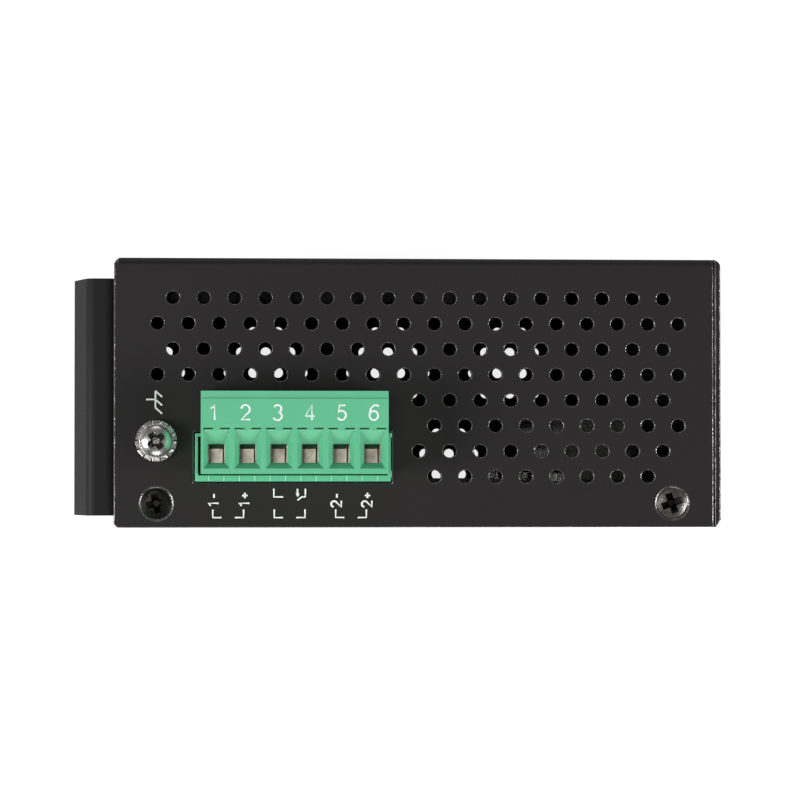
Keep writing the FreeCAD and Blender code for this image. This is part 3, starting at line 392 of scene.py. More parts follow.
CASE_COAT = textured_coat("case_coat", srgb(36, 34, 34), 3.2, 0.014, 0.44, 0.2)
COAT_EDGE = textured_coat("coat_edge", srgb(40, 39, 39), 3.2, 0.06, 0.2, 0.5, ior=2.3)
BRACKET_COAT = textured_coat("bracket_coat", srgb(42, 42, 42), 2.2, 0.01, 0.5, 0.1)
BLACK_OXIDE = plated_metal("black_oxide", srgb(52, 51, 50), 0.34, lines=6.0, stretch=2.0)
WORN_OXIDE = plated_metal("worn_oxide", srgb(124, 122, 118), 0.34, lines=5.0, stretch=1.5,
                          amount=0.6, relief_mm=0.03)
GREEN_POLYAMIDE = moulded_plastic("green_polyamide", srgb(93, 182, 138), 0.4, subsurface=0.12)
# lighter copy of the green polyamide: painted highlight on the plug's edge bevels and on the header's ribs
PAINTED_HIGHLIGHT_POLYAMIDE = moulded_plastic("polyamide_painted_highlight", srgb(150, 226, 190), 0.4, subsurface=0.12)
BLACK_MOULDING = moulded_plastic("black_moulding", srgb(24, 24, 25), 0.5)
RELAY_MOULDING = moulded_plastic("relay_moulding", srgb(208, 206, 196), 0.45)
FERRITE = moulded_plastic("ferrite", srgb(46, 44, 44), 0.7, amount=0.12, depth_mm=0.02)
NICKEL = plated_metal("nickel", srgb(224, 223, 221), 0.28, lines=4.0, stretch=1.5, amount=0.3,
                      relief_mm=0.03)
# darker copy of the nickel for the faces inside the earth screw's cross recess: painted shade
RECESS_SHADE_NICKEL = plated_metal("nickel_painted_recess_shade", srgb(150, 148, 144), 0.24, lines=3.0, stretch=1.5, amount=0.5,
                            relief_mm=0.06)
ZINC = plated_metal("zinc", srgb(232, 226, 206), 0.3, lines=3.0, stretch=2.0, stain=srgb(120, 108, 88),
                    amount=0.3, relief_mm=0.03)
TIN = plated_metal("tin", srgb(246, 240, 222), 0.34, lines=5.0, stretch=2.0, stain=srgb(120, 104, 82),
                   amount=0.4, relief_mm=0.03)
SHIELD_TIN = plated_metal("shield_tin", srgb(186, 186, 182), 0.26, amount=0.3)
SPRING_STEEL = plated_metal("spring_steel", srgb(150, 150, 152), 0.3)
GOLD = plated_metal("gold", srgb(214, 172, 92), 0.25)
BLACK_ANODISED = plated_metal("black_anodised", srgb(40, 40, 42), 0.5, lines=5.0, stretch=30.0)
CAN_SLEEVE = moulded_plastic("can_sleeve", srgb(38, 42, 52), 0.3)
BOARD_MASK = board_mask("board_mask")
WHITE_INK = printed_ink("white_ink", srgb(252, 252, 250))
MINT_INK = printed_ink("mint_ink", srgb(236, 253, 246))
LAMP_CLEAR = clear_moulding("lamp_clear", srgb(205, 222, 205))

SLOT_MATERIALS = {
    "case_paint": CASE_COAT, "bracket_paint": BRACKET_COAT, "black_screw": BLACK_OXIDE,
    "spring_steel": SPRING_STEEL, "nickel_plate": NICKEL, "circuit_board": BOARD_MASK,
    "green_plastic": GREEN_POLYAMIDE, "tinned_metal": TIN, "zinc_steel": ZINC, "shield_steel": SHIELD_TIN,
    "black_plastic": BLACK_MOULDING, "gold_plate": GOLD, "lamp_plastic": LAMP_CLEAR,
    "black_aluminium": BLACK_ANODISED, "capacitor_can": CAN_SLEEVE, "ferrite": FERRITE,
    "relay_plastic": RELAY_MOULDING,
}


def dress_nodes():
    """Every CAD node gets the material of its slot."""
    for part in frame["record"]["subparts"]:
        node = frame["nodes"][part["node"]]
        node.data.materials.clear()
        node.data.materials.append(SLOT_MATERIALS[part["material_slot"]])


# ---- mesh helpers --------------------------------------------------------------------------------
def mesh_of(node):
    """Copy of a CAD node's mesh in millimetres, its corners joined."""
    source = frame["nodes"][node]
    mesh = source.data.copy()
    mesh.transform(Matrix.Scale(1 / MM, 4) @ source.matrix_world)
    mesh.materials.clear()
    shape = bmesh.new()
    shape.from_mesh(mesh)
    bmesh.ops.remove_doubles(shape, verts=shape.verts, dist=JOINED)
    bmesh.ops.dissolve_limit(shape, angle_limit=0.01, verts=shape.verts, edges=shape.edges)
    shape.to_mesh(mesh)
    shape.free()
    mesh.shade_flat()
    return mesh


def new_piece(name, mesh, material, body):
    """Object for a mesh made in millimetres, dressed and riding on a body."""
    mesh.transform(Matrix.Scale(MM, 4))
    piece = bpy.data.objects.new(name, mesh)
    bpy.context.scene.collection.objects.link(piece)
    mesh.materials.append(material)
    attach(piece, body)
    return piece


def add_block(shape, low, high):
    """Box between two corners."""
    low, high = Vector(low), Vector(high)
    place = Matrix.Translation((low + high) / 2) @ Matrix.Diagonal((*(high - low), 1))
    bmesh.ops.create_cube(shape, size=1, matrix=place)


def add_cone(shape, centre, lower_diameter, upper_diameter, low_z, high_z, sides=32):
    """Upright cone or cylinder through centre, between two heights."""
    place = Matrix.Translation((centre[0], centre[1], (low_z + high_z) / 2))
    bmesh.ops.create_cone(shape, cap_ends=True, segments=sides, radius1=lower_diameter / 2,
                          radius2=upper_diameter / 2, depth=high_z - low_z, matrix=place)


def add_turned(shape, outline, place, sides=40):
    """Shape turned about Z over an open (radius, height) outline that starts and ends on the axis."""
    rings = []
    for radius, height in outline:
        count = sides if radius else 1
        turns = [2 * math.pi * side / sides for side in range(count)]
        points = [(radius * math.cos(turn), radius * math.sin(turn), height) for turn in turns]
        rings.append([shape.verts.new(place @ Vector(point)) for point in points])
    for ring, after in zip(rings, rings[1:]):
        for side in range(sides):
            other = (side + 1) % sides
            if len(ring) == 1:
                shape.faces.new((ring[0], after[side], after[other]))
            elif len(after) == 1:
                shape.faces.new((ring[side], after[0], ring[other]))
            else:
                shape.faces.new((ring[side], after[side], after[other], ring[other]))


def add_frustum(shape, lower, upper, low_z, high_z, place):
    """Tapered block between two rectangles, each a (length, width)."""
    made = bmesh.ops.create_cube(shape, size=1)["verts"]
    for corner in made:
        length, width = upper if corner.co.z > 0 else lower
        height = high_z if corner.co.z > 0 else low_z
        corner.co = place @ Vector((corner.co.x * length, corner.co.y * width, height))


def smooth_rounds(mesh, degrees=40):
    """Smooth shading over turned and rounded faces, sharp at edges steeper than an angle."""
    mesh.shade_smooth()
    shape = bmesh.new()
    shape.from_mesh(mesh)
    for edge in shape.edges:
        edge.smooth = len(edge.link_faces) == 2 and edge.calc_face_angle() < math.radians(degrees)
    shape.to_mesh(mesh)
    shape.free()


def mesh_from(shape, name):
    """Mesh data from an edited shape, its faces turned outwards."""
    bmesh.ops.recalc_face_normals(shape, faces=shape.faces)
    mesh = bpy.data.meshes.new(name)
    shape.to_mesh(mesh)
    shape.free()
    return mesh


def cut_away(mesh, cutter_mesh):
    """The mesh without what the cutter holds."""
    solid = bpy.data.objects.new("solid", mesh)
    cutter = bpy.data.objects.new("cutter", cutter_mesh)
    for item in (solid, cutter):
        bpy.context.scene.collection.objects.link(item)
    boolean = solid.modifiers.new("cut", "BOOLEAN")
    boolean.operation = "DIFFERENCE"
    boolean.solver = "EXACT"
    boolean.object = cutter
    bpy.context.view_layer.update()
    evaluated = solid.evaluated_get(bpy.context.evaluated_depsgraph_get())
    result = bpy.data.meshes.new_from_object(evaluated)
    bpy.data.objects.remove(solid)
    bpy.data.objects.remove(cutter)
    return result


def break_edges(piece, width_mm, segments=2, degrees=35):
    """Small rounding on a piece's edges that are sharper than an angle."""
    bevel = piece.modifiers.new("edge_break", "BEVEL")
    bevel.width = width_mm * MM
    bevel.segments = segments
    bevel.limit_method = "ANGLE"
    bevel.angle_limit = math.radians(degrees)
    return bevel


def soften_edges(node, width_mm, segments=2):
    """The same on a CAD node, by modifiers only."""
    piece = frame["nodes"][node]
    weld = piece.modifiers.new("weld", "WELD")
    weld.merge_threshold = JOINED * MM
    break_edges(piece, width_mm, segments)


# ---- case ----------------------------------------------------------------------------------------
def cover_screw_spots():
    """Middles of the cover's screws on an end plate."""
    x = case_low.x + COVER_SCREW_FROM_SIDE
    return [(x, case_high.y - COVER_SCREW_FROM_REAR), (x, case_low.y + COVER_SCREW_FROM_FRONT)]


def vent_spots(front_margin):
    """Middles of the vents on an end plate: rows over the whole depth, then rows over the front half."""
    middle_y = (case_low.y + case_high.y) / 2
    columns = round((case_high.y - case_low.y - 2 * VENT_END_MARGIN) / VENT_PITCH) + 1
    spots = []
    for row in range(VENT_FULL_ROWS + VENT_HALF_ROWS):
        x = case_high.x - VENT_SIDE_MARGIN - row * VENT_ROW_PITCH
        between = row % 2 == 0
        start = case_high.y - VENT_END_MARGIN - (VENT_PITCH / 2 if between else 0)
        for column in range(columns - 1 if between else columns):
            y = start - column * VENT_PITCH
            if row >= VENT_FULL_ROWS and y > middle_y + VENT_PITCH / 4:
                continue
            near_screw = any(math.hypot(x - a, y - b) < VENT_SCREW_CLEARANCE for a, b in cover_screw_spots())
            if y - case_low.y > front_margin and not near_screw:
                spots.append((x, y))
    return spots


def folded_blank():
    """Closed box of the case's outside, rounded along the four folds of the side wall."""
    shape = bmesh.new()
    add_block(shape, case_low, case_high)
    folds = [edge for edge in shape.edges if all(vertex.co.x > case_high.x - 0.01 for vertex in edge.verts)]
    bmesh.ops.bevel(shape, geom=folds, offset=BEND_OUTSIDE, segments=BEND_FACETS, profile=0.5,
                    affect="EDGES")
    return mesh_from(shape, "case")


def case_hollow():
    """What is inside the sheet, open through the missing side wall."""
    shape = bmesh.new()
    low = case_low + Vector((-PAST, SHEET, SHEET))
    high = case_high - Vector((SHEET, SHEET, SHEET))
    add_block(shape, low, high)
    return mesh_from(shape, "hollow")


def seam_cuts():
    """Slits between the walls that meet at the open edges."""
    shape = bmesh.new()
    fold_x = case_high.x - BEND_OUTSIDE
    near = case_low.y + SHEET
    far = case_high.y - SHEET
    for low_z, high_z in ((case_low.z - PAST, case_low.z + SHEET), (TOP - SHEET, TOP + PAST)):
        add_block(shape, (case_low.x - PAST, near, low_z), (case_high.x + PAST, near + SEAM, high_z))
    for low_z in (case_low.z + SHEET, TOP - SHEET - SEAM):
        add_block(shape, (case_low.x - PAST, far, low_z), (fold_x, case_high.y + PAST, low_z + SEAM))
    return mesh_from(shape, "seams")


def add_corner_wedge(shape, corner, reach_x, reach_y):
    """Cutter that bevels an upright corner, by signed reaches from the corner along X and Y."""
    first = Vector((corner[0] + reach_x, corner[1], 0))
    last = Vector((corner[0], corner[1] + reach_y, 0))
    along = (last - first).normalized()
    across = Vector((0, 0, 1)).cross(along)
    outward = 1 if across.dot(Vector((*corner, 0)) - first) > 0 else -1
    place = Matrix((along, across, (0, 0, 1))).transposed().to_4x4()
    place.translation = (first + last) / 2 + across * outward * PAST
    length = 4 * PAST
    width = 2 * PAST
    add_frustum(shape, (length, width), (length, width), case_low.z - PAST, case_high.z + PAST, place)


def corner_cuts():
    """Reliefs at the rear ends of the folds, and the bevelled free corners beside the cover."""
    shape = bmesh.new()
    for low_z, high_z in ((-PAST, BEND_OUTSIDE), (TOP - BEND_OUTSIDE, TOP + PAST)):
        add_block(shape, (case_high.x - FOLD_RELIEF_WIDTH, case_high.y - FOLD_RELIEF, low_z),
                  (case_high.x + PAST, case_high.y + PAST, high_z))
    add_corner_wedge(shape, (case_low.x, case_low.y), FRONT_CORNER_X, FRONT_CORNER_Y)
    add_corner_wedge(shape, (case_low.x, case_high.y), REAR_CORNER, -REAR_CORNER)
    return mesh_from(shape, "corners")


def add_countersinks(shape):
    """Cone and hole for each of the cover's screws, in both end plates."""
    wide = COUNTERSINK_DIAMETER + PAST
    depth = (COUNTERSINK_DIAMETER - SCREW_HOLE_DIAMETER) / 2
    for x, y in cover_screw_spots():
        add_cone(shape, (x, y), SCREW_HOLE_DIAMETER, wide, TOP - depth, TOP + PAST / 2, 40)
        add_cone(shape, (x, y), wide, SCREW_HOLE_DIAMETER, -PAST / 2, depth, 40)


def add_front_windows(shape):
    """Windows for the sockets and holes for the lamps, in the front wall."""
    for index in range(1, SOCKETS + 1):
        low, high = corners(f"rj45_shield_{index}")
        inset = SOCKET_WINDOW_INSET
        add_block(shape, (board_high.x + inset, case_low.y - PAST, low.z + inset),
                  (high.x - inset, case_low.y + 2 * SHEET, high.z - inset))
    low, high = corners("status_lamps")
    step = (high.x - low.x - 2 * LAMP_FROM_END) / (LAMPS - 1)
    for index in range(LAMPS):
        middle = (low.x + LAMP_FROM_END + index * step, case_low.y, (low.z + high.z) / 2)
        place = Matrix.Translation(middle) @ Matrix.Rotation(math.pi / 2, 4, "X")
        radius = LAMP_HOLE_DIAMETER / 2
        bmesh.ops.create_cone(shape, cap_ends=True, segments=VENT_SIDES, radius1=radius, radius2=radius,
                              depth=4 * SHEET, matrix=place)


def punched_cuts():
    """Vents, windows and screw holes."""
    shape = bmesh.new()
    for spots, low_z, high_z in ((vent_spots(0), TOP - 2 * SHEET, TOP + SHEET),
                                 (vent_spots(LOWER_VENT_MARGIN), -SHEET, 2 * SHEET)):
        for spot in spots:
            add_cone(shape, spot, VENT_DIAMETER, VENT_DIAMETER, low_z, high_z, VENT_SIDES)
    add_countersinks(shape)
    add_cone(shape, EARTH_SPOT, EARTH_HOLE_DIAMETER, EARTH_HOLE_DIAMETER, TOP - 2 * SHEET, TOP + SHEET)
    gap = HEADER_WINDOW_GAP
    add_block(shape, (header_low.x - gap, header_low.y - gap, TOP - 2 * SHEET),
              (header_high.x + gap, header_high.y + gap, TOP + SHEET))
    add_front_windows(shape)
    return mesh_from(shape, "punches")


def make_case():
    """Folded steel case with round vents and softly broken edges."""
    mesh = folded_blank()
    for cuts in (case_hollow(), seam_cuts(), corner_cuts(), punched_cuts()):
        mesh = cut_away(mesh, cuts)
    case = new_piece("folded_case", mesh, CASE_COAT, "switch")
    mesh.materials.append(COAT_EDGE)
    bevel = break_edges(case, EDGE_BREAK, 3, 40)
    bevel.use_clamp_overlap = False
    bevel.material = 1
    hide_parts("case_shell")


# ---- screws --------------------------------------------------------------------------------------
def cross_recess(mesh, place, span, depth, turn):
    """The mesh with a cross recess, sunk from z = 0 in place: tapered wings round a wider middle."""
    wing = WING_WIDTH * span
    middle = RECESS_MIDDLE * span
    grown = 1 + RECESS_PAST / depth
    for angle, length, width in ((turn, span, wing), (turn + 90, span, wing), (turn + 45, middle, middle)):
        shape = bmesh.new()
        spin = place @ Matrix.Rotation(math.radians(angle), 4, "Z")
        foot = (WING_FOOT_LENGTH * length, WING_FOOT_WIDTH * width)
        add_frustum(shape, foot, (grown * length, grown * width), -depth, RECESS_PAST * depth, spin)
        mesh = cut_away(mesh, mesh_from(shape, "wings"))
    return mesh


def flat_screws(name, node, spots, length, turns, direction, worn=()):
    """Countersunk screws, each head's flat at its spot and its shank along a direction.

    The heads listed as worn have rubbed flats.
    """
    shape = bmesh.new()
    head = FLAT_HEAD_DIAMETER / 2
    shank = SCREW_SHANK_DIAMETER / 2
    outline = [(0, 0), (head - FLAT_HEAD_BEVEL, 0), (head, -FLAT_HEAD_BEVEL_DEPTH), (head, -FLAT_HEAD_RIM),
               (shank, -FLAT_HEAD_RIM - head + shank), (shank, SCREW_TIP_BEVEL - length),
               (shank - SCREW_TIP_BEVEL, -length), (0, -length)]
    places = []
    for spot in spots:
        spin = Vector((0, 0, -1)).rotation_difference(direction(spot)).to_matrix().to_4x4()
        places.append(Matrix.Translation(spot) @ spin)
        add_turned(shape, outline, places[-1])
    mesh = mesh_from(shape, name)
    for place, turn in zip(places, turns):
        mesh = cross_recess(mesh, place, FLAT_RECESS_SPAN * FLAT_HEAD_DIAMETER, FLAT_RECESS_DEPTH, turn)
    smooth_rounds(mesh)
    for face in mesh.polygons:
        for index in worn:
            away = face.center - spots[index]
            if away.xy.length < head and abs(away.z) < WORN_DEPTH:
                face.material_index = 1
    screws = new_piece(name, mesh, BLACK_OXIDE, "switch")
    if worn:
        mesh.materials.append(WORN_OXIDE)
    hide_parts(node)


def make_cover_screws():
    """Two screws in each end plate, sunk a little below its face."""
    low, high = corners("cover_screws")
    spots = [Vector((x, y, z)) for z in (high.z, low.z) for x, y in cover_screw_spots()]
    flat_screws("cover_screw_set", "cover_screws", spots, COVER_SCREW_LENGTH, (12, 20, 55, 75),
                lambda spot: Vector((0, 0, -1 if spot.z > TOP / 2 else 1)), worn=(1, 3))


def make_bracket_screws():
    """Four screws through the rail bracket."""
    low, high = corners("bracket_screws")
    radius = FLAT_HEAD_DIAMETER / 2
    spots = [Vector((x, high.y, z)) for x in (low.x + radius, high.x - radius)
             for z in (low.z + radius, high.z - radius)]
    flat_screws("bracket_screw_set", "bracket_screws", spots, high.y - low.y, (8, 52, 31, 70),
                lambda spot: Vector((0, -1, 0)))


def make_earth_screw():
    """Domed nickel screw with a cross recess, over its toothed washer."""
    middle = (screw_low + screw_high) / 2
    place = Matrix.Translation((middle.x, middle.y, screw_high.z - EARTH_HEAD_HEIGHT))
    head = EARTH_HEAD_DIAMETER / 2
    height = EARTH_HEAD_HEIGHT
    dome = 1 - EARTH_HEAD_BRIM
    crown = [(head * math.sin(turn), height * (EARTH_HEAD_BRIM + dome * math.cos(turn)))
             for turn in (math.radians(6 * step) for step in range(3, 16))]
    bottom = screw_low.z - screw_high.z + height
    shank = EARTH_SHANK_DIAMETER / 2
    outline = [(0, height), *crown, (head, EARTH_HEAD_BEVEL), (head - EARTH_HEAD_BEVEL, 0), (shank, 0),
               (shank, bottom + EARTH_TIP_BEVEL), (shank - EARTH_TIP_BEVEL, bottom), (0, bottom)]
    shape = bmesh.new()
    add_turned(shape, outline, place, EARTH_HEAD_SIDES)
    top = place @ Matrix.Translation((0, 0, height))
    mesh = cross_recess(mesh_from(shape, "earth_screw"), top, EARTH_RECESS_SPAN, EARTH_RECESS_DEPTH,
                        EARTH_RECESS_TURN)
    smooth_rounds(mesh, degrees=50)
    seat_z = place.translation.z
    # faces sunk inside the cross recess take the darker nickel: painted shade in the recess
    for face in mesh.polygons:
        reach = (face.center - middle).xy.length
        crown_z = seat_z + height * (EARTH_HEAD_BRIM + dome * math.sqrt(max(0, 1 - (reach / head) ** 2)))
        if reach < 0.75 * head and seat_z < face.center.z < crown_z - 0.05:
            face.material_index = 1
    screw = new_piece("earth_screw_domed", mesh, NICKEL, "switch")
    mesh.materials.append(RECESS_SHADE_NICKEL)
    break_edges(screw, 0.05)
    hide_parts("earth_screw")


def make_lock_washer():
    """Flat ring with broad twisted teeth round it."""
    low, high = corners("lock_washer")
    middle = (screw_low + screw_high) / 2
    shape = bmesh.new()
    base = low.z + (high.z - low.z - WASHER_SHEET) / 2
    ring = bmesh.ops.create_circle(shape, segments=60, radius=WASHER_BODY / 2)["verts"]
    hole = bmesh.ops.create_circle(shape, segments=60, radius=WASHER_HOLE / 2)["verts"]
    edges = {edge for vertex in ring + hole for edge in vertex.link_edges}
    face = bmesh.ops.bridge_loops(shape, edges=list(edges))["faces"]
    bmesh.ops.solidify(shape, geom=face, thickness=WASHER_SHEET)
    bmesh.ops.translate(shape, verts=shape.verts, vec=(0, 0, -min(vertex.co.z for vertex in shape.verts)))
    half = TOOTH_SHARE * math.pi / WASHER_TEETH
    for tooth in range(WASHER_TEETH):
        turn = 2 * math.pi * tooth / WASHER_TEETH
        for corner in bmesh.ops.create_cube(shape, size=2)["verts"]:
            outer = corner.co.x > 0
            angle = turn + corner.co.y * half * (1.0 if outer else 1.1)
            radius = WASHER_DIAMETER / 2 if outer else WASHER_BODY / 2 - 0.1
            rise = TOOTH_TWIST * corner.co.y * (1 if outer else 0.2)
            height = WASHER_SHEET / 2 * (1 + corner.co.z) + rise
            corner.co = Vector((radius * math.cos(angle), radius * math.sin(angle), height))
    bmesh.ops.translate(shape, verts=shape.verts, vec=(middle.x, middle.y, base))
    washer = new_piece("toothed_washer", mesh_from(shape, "washer"), NICKEL, "switch")
    bevel = washer.modifiers.new("edge_break", "BEVEL")
    bevel.width = 0.06 * MM
    bevel.segments = 2
    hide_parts("lock_washer")


# ---- print ---------------------------------------------------------------------------------------
INK_HEIGHT = 0.012
POLE_NUMBER_HEIGHT = 2.45
POLE_NUMBER_FROM_TOP = 3.52     # under the plug's screw side
POLE_NUMBER_SHIFT = 0.15
SUPPLY_SIGN_HEIGHT = 1.72
EARTH_SIGN_FROM_FOLD = 23.5
EARTH_SIGN_FROM_REAR = 6.88
EARTH_SIGN_LEFT = 1.37      # reach of its bar on each side of the stem
EARTH_SIGN_RIGHT = 1.41
BRACKETS_FROM_SIDE = 1.68
BRACKET_DEPTH = 1.33
BRACKET_ARM = 1.43
RELAY_FROM_BRACKETS = 3.41


def arc(centre, radii, start, end):
    """Points along a stretch of an ellipse, from one angle to another in degrees."""
    steps = max(4, round(abs(end - start) / 12))
    turns = [math.radians(start + (end - start) * step / steps) for step in range(steps + 1)]
    return [(centre[0] + radii[0] * math.cos(turn), centre[1] + radii[1] * math.sin(turn)) for turn in turns]


# pen strokes of each sign, in shares of its height
SIGNS = {
    "1": [[(0.14, 0.78), (0.3, 0.84), (0.4, 1.0), (0.4, 0.0)]],
    "2": [arc((0.32, 0.71), (0.28, 0.29), 172, -35) + [(0.04, 0.03), (0.64, 0.03)]],
    "3": [arc((0.32, 0.76), (0.25, 0.24), 155, -80), arc((0.31, 0.27), (0.29, 0.27), 88, -155)],
    "4": [[(0.47, 0.0), (0.47, 1.0), (0.03, 0.27), (0.65, 0.27)]],
    "5": [[(0.57, 0.98), (0.17, 0.98), (0.1, 0.52)] + arc((0.31, 0.33), (0.29, 0.31), 122, -150)],
    "6": [arc((0.33, 0.31), (0.28, 0.3), 0, 360), arc((0.47, 0.4), (0.42, 0.6), 178, 62)],
    "+": [[(0.08, 0.45), (0.6, 0.45)], [(0.34, 0.19), (0.34, 0.71)]],
    "-": [[(0.12, 0.45), (0.5, 0.45)]],
}
SIGN_ADVANCE = 0.8
SIGN_MIDDLE = 0.34


def sign_strokes(signs, centre, height, sideways):
    """Strokes of a row of signs round a centre: read along -Y, or along +X where sideways."""
    strokes = []
    for place, sign in enumerate(signs):
        shift = (place - (len(signs) - 1) / 2) * SIGN_ADVANCE - SIGN_MIDDLE
        for stroke in SIGNS[sign]:
            flat = [((across + shift) * height, (up - 0.5) * height) for across, up in stroke]
            if sideways:
                strokes.append([(centre[0] + across, centre[1] + up) for across, up in flat])
            else:
                strokes.append([(centre[0] + up, centre[1] - across) for across, up in flat])
    return strokes


def printed(name, strokes, width_mm, z, material, body):
    """Thin coat of ink on a level face: pen strokes of even width, each a list of (x, y) points."""
    curve = bpy.data.curves.new(name, "CURVE")
    curve.dimensions = "3D"
    curve.bevel_depth = width_mm / 2
    curve.bevel_resolution = 1
    curve.use_fill_caps = True
    for stroke in strokes:
        spline = curve.splines.new("POLY")
        spline.points.add(len(stroke) - 1)
        for point, (x, y) in zip(spline.points, stroke):
            point.co = (x, y, 0, 1)
    drawn = bpy.data.objects.new(name, curve)
    bpy.context.scene.collection.objects.link(drawn)
    bpy.context.view_layer.update()
    mesh = bpy.data.meshes.new_from_object(drawn.evaluated_get(bpy.context.evaluated_depsgraph_get()))
    bpy.data.objects.remove(drawn)
    mesh.transform(Matrix.Diagonal((1, 1, 2 * INK_HEIGHT / width_mm, 1)))
    mesh.transform(Matrix.Translation((0, 0, z)))
    return new_piece(name, mesh, material, body)


def print_pole_numbers():
    """Numbers 1 to 6 over the wire entries."""
    strokes = []
    for index in range(POLES):
        y = PLUG_MIDDLE + POLE_NUMBER_SHIFT + (POLES / 2 - 0.5 - index) * NUMBER_PITCH
        centre = (plug_high.x - POLE_NUMBER_FROM_TOP, y)
        strokes += sign_strokes(str(index + 1), centre, POLE_NUMBER_HEIGHT, False)
    printed("pole_numbers", strokes, 0.34, plug_high.z, MINT_INK, "plug")


def print_earth_sign():
    """Chassis earth: a stem, a bar and three slanted strokes."""
    stem = case_high.x - EARTH_SIGN_FROM_FOLD
    bar = case_high.y - EARTH_SIGN_FROM_REAR
    left = -EARTH_SIGN_LEFT
    right = EARTH_SIGN_RIGHT
    strokes = [[(stem, bar + 1.55), (stem, bar)], [(stem + left, bar), (stem + right, bar)]]
    for offset in (left, 0, right):
        strokes.append([(stem + offset, bar), (stem + offset - 0.98, bar - 1.1)])
    printed("earth_sign", strokes, 0.29, TOP, WHITE_INK, "switch")


def print_terminal_signs():
    """Signs of the two supplies, brackets that pair the poles, and the fault relay's contact."""
    low_x = case_low.x + BRACKETS_FROM_SIDE
    lines = []
    for pair in range(POLES // 2):
        left = POLE_YS[2 * pair] + 0.56
        right = POLE_YS[2 * pair + 1] + 0.56
        for y, inward in ((left, -BRACKET_ARM), (right, BRACKET_ARM)):
            lines.append([(low_x + BRACKET_DEPTH, y), (low_x, y), (low_x, y + inward)])
    # between the third and fourth poles: one leg, then the other with its arrow
    left = POLE_YS[2] + 0.64
    right = POLE_YS[3] + 0.51
    contact = low_x + RELAY_FROM_BRACKETS
    arrow = right + 1.29
    lines.append([(contact + 1.35, left), (contact, left), (contact, left - 1.55)])
    lines.append([(contact + 1.35, right), (contact, right), (contact, right + 0.6),
                  (contact - 0.56, arrow)])
    lines.append([(contact + 1.35, arrow), (contact + 0.5, arrow)])
    head = [(contact + 0.5, arrow - 0.2), (contact + 0.12, arrow), (contact + 0.5, arrow + 0.2)]
    lines.append(head + head[:1])
    printed("terminal_lines", lines, 0.28, TOP, WHITE_INK, "switch")
    strokes = []
    for index, signs in ((0, "1-"), (1, "1+"), (4, "2-"), (5, "2+")):
        centre = (low_x + 2.95, POLE_YS[index] + 0.45)
        strokes += sign_strokes(signs, centre, SUPPLY_SIGN_HEIGHT, True)
    printed("supply_signs", strokes, 0.31, TOP, WHITE_INK, "switch")


# ---- terminal block ------------------------------------------------------------------------------
def make_plug_moulding():
    """Terminal plug with a narrow slot over each wire mouth, left open at a nib in its middle."""
    mouth_high = plug_high.x - MOUTH_FROM_TOP
    shape = bmesh.new()
    for y in POLE_YS:
        for side in (-1, 1):
            near = y + side * NIB_WIDTH / 2
            far = y + side * MOUTH_WIDTH / 2
            add_block(shape, (mouth_high - MOUTH_SLOT, min(near, far), plug_high.z - MOUTH_SLOT_DEPTH),
                      (mouth_high, max(near, far), plug_high.z + PAST))
    mesh = cut_away(mesh_of("terminal_plug"), mesh_from(shape, "slots"))
    plug = new_piece("plug_moulding", mesh, GREEN_POLYAMIDE, "plug")
    # the edge bevel takes the lighter polyamide: painted highlight along the plug's edges
    mesh.materials.append(PAINTED_HIGHLIGHT_POLYAMIDE)
    bevel = break_edges(plug, PLASTIC_EDGE)
    bevel.material = 1
    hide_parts("terminal_plug")


def make_contact_strips():
    """The plug's contact strips: bars that end deep behind the wire entries, and open entries."""
    mesh = mesh_of("plug_contacts")
    front = max(vertex.co.z for vertex in mesh.vertices)
    for vertex in mesh.vertices:
        if vertex.co.z > front - BAR_END:
            vertex.co.z -= BAR_BEHIND_ENTRY
    entry_high = plug_high.x - ENTRY_FROM_TOP
    for reach, near, far in ENTRY_OPENINGS:
        shape = bmesh.new()
        for y in POLE_YS:
            add_block(shape, (entry_high - reach, y + near, board_high.z),
                      (entry_high + 0.1, y + far, TOP + 6))
        mesh = cut_away(mesh, mesh_from(shape, "openings"))
    strips = new_piece("contact_strips", mesh, TIN, "plug")
    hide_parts("plug_contacts")


def make_header_marks():
    """Fine moulded ribs across the header's lower rim, two a pole, at the mouths of its coding slots."""
    shape = bmesh.new()
    half = HEADER_RIB_WIDTH / 2
    for y in POLE_YS:
        for middle in (y - HEADER_RIB_OFFSET, y + HEADER_RIB_OFFSET):
            add_block(shape, (header_low.x + 0.05, middle - half, header_high.z - 0.05),
                      (header_low.x + 0.95, middle + half, header_high.z + HEADER_RIB_HEIGHT))
    # the ribs are in the lighter polyamide: painted highlight
    new_piece("header_ribs", mesh_from(shape, "ribs"), PAINTED_HIGHLIGHT_POLYAMIDE, "switch")


# ---- stage ---------------------------------------------------------------------------------------
FLOOR_COLOR = (0.34, 0.34, 0.34, 1)     # in the lamps' light
FLOOR_GLOW = 0.82                       # added to it for the eye
FLOOR_MIRRORED = 0.3                    # share of the glow that polished faces mirror
WORLD_STRENGTH = 0.15
LENS = 141.3
CAMERA_PLACE = Vector((-11.98, 30.97, TOP + 520.0))
CAMERA_TARGET = Vector((-1.2, -0.98, TOP))


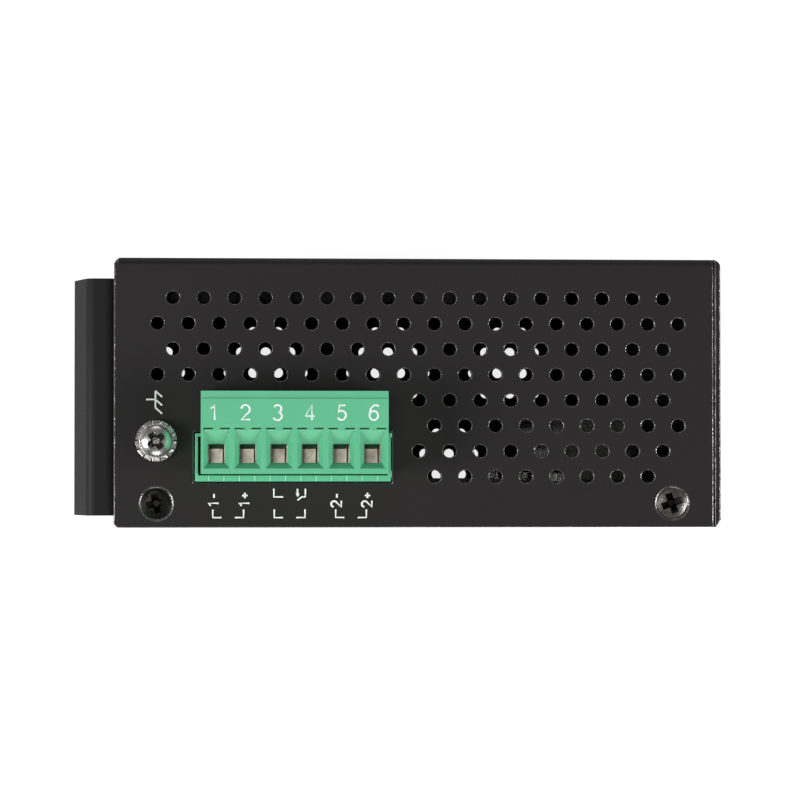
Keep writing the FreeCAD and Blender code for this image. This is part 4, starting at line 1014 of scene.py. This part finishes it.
def make_floor():
    """Plain white floor that keeps the switch's shadow and is fainter in polished faces."""
    mesh = bpy.data.meshes.new("floor")
    shape = bmesh.new()
    bmesh.ops.create_grid(shape, x_segments=1, y_segments=1, size=4.0)
    shape.to_mesh(mesh)
    shape.free()
    floor = bpy.data.objects.new("floor", mesh)
    floor.location.z = -0.0002
    bpy.context.scene.collection.objects.link(floor)
    material = bpy.data.materials.new("floor_white")
    material.use_nodes = True
    material.node_tree.nodes.clear()
    wiring = Wiring(material.node_tree)
    diffuse = wiring.put("ShaderNodeBsdfDiffuse", {}, {"Color": FLOOR_COLOR})
    rays = wiring.put("ShaderNodeLightPath")
    mirrored = wiring.sum(rays.outputs["Is Glossy Ray"], FLOOR_MIRRORED, "MULTIPLY")
    direct = wiring.sum(rays.outputs["Is Camera Ray"], rays.outputs["Is Transmission Ray"], "MAXIMUM")
    seen = wiring.sum(direct, mirrored, "MAXIMUM")
    glow = wiring.put("ShaderNodeEmission", {}, {"Strength": wiring.sum(seen, FLOOR_GLOW, "MULTIPLY")})
    both = wiring.put("ShaderNodeAddShader")
    wiring.feed(diffuse.outputs["BSDF"], both.inputs[0])
    wiring.feed(glow.outputs["Emission"], both.inputs[1])
    wiring.put("ShaderNodeOutputMaterial", {}, {"Surface": both.outputs["Shader"]})
    mesh.materials.append(material)


def make_world():
    """Pale even surroundings."""
    world = bpy.data.worlds.new("surroundings")
    world.use_nodes = True
    background = world.node_tree.nodes["Background"]
    background.inputs["Color"].default_value = (1, 1, 1, 1)
    background.inputs["Strength"].default_value = WORLD_STRENGTH
    bpy.context.scene.world = world


def soft_light(name, place, target, size, watts):
    """Square soft box aimed at a point."""
    data = bpy.data.lights.new(name, "AREA")
    data.shape = "SQUARE"
    data.size = size
    data.energy = watts
    light = bpy.data.objects.new(name, data)
    light.location = place
    light.rotation_euler = (Vector(target) - Vector(place)).to_track_quat("-Z", "Y").to_euler()
    bpy.context.scene.collection.objects.link(light)


def make_lights():
    """Soft boxes: two bright ones low at the rail and the sockets, which catch the cut edges,
    and faint ones beside the cover, beside the wall and overhead."""
    target = (0, 0, 0.12)
    soft_light("rail_side_light", (-0.18, 0.84, 0.66), target, 0.4, 9.0)
    soft_light("socket_side_light", (-0.18, -0.84, 0.66), target, 0.4, 8.0)
    soft_light("cover_side_light", (-0.95, 0.0, 0.5), target, 0.5, 2.0)
    soft_light("wall_side_light", (1.0, 0.0, 0.3), target, 0.5, 0.8)
    soft_light("overhead_light", (0.1, 0.3, 1.5), target, 0.3, 1.3)


def make_camera():
    """Long lens over the upper end plate, a little to the rear of its middle."""
    data = bpy.data.cameras.new("camera")
    data.sensor_width = 36.0
    data.lens = LENS
    camera = bpy.data.objects.new("camera", data)
    back = (CAMERA_PLACE - CAMERA_TARGET).normalized()
    right = Vector((1, 0, 0)).cross(back).normalized()
    up = back.cross(right)
    turn = Matrix((right, up, back)).transposed().to_4x4()
    camera.matrix_world = Matrix.Translation(CAMERA_PLACE * MM) @ turn
    data.clip_start = 0.01
    data.clip_end = 50
    bpy.context.scene.collection.objects.link(camera)
    bpy.context.scene.camera = camera


# ---- the scene -----------------------------------------------------------------------------------
bpy.context.scene.view_settings.view_transform = "Standard"
dress_nodes()
make_case()
make_cover_screws()
make_bracket_screws()
make_earth_screw()
make_lock_washer()
make_plug_moulding()
make_contact_strips()
soften_edges("terminal_header", PLASTIC_EDGE)
soften_edges("din_bracket", 0.2, 3)
soften_edges("side_cover", 0.09)
print_pole_numbers()
print_earth_sign()
print_terminal_signs()
make_header_marks()
make_floor()
make_world()
make_lights()
make_camera()
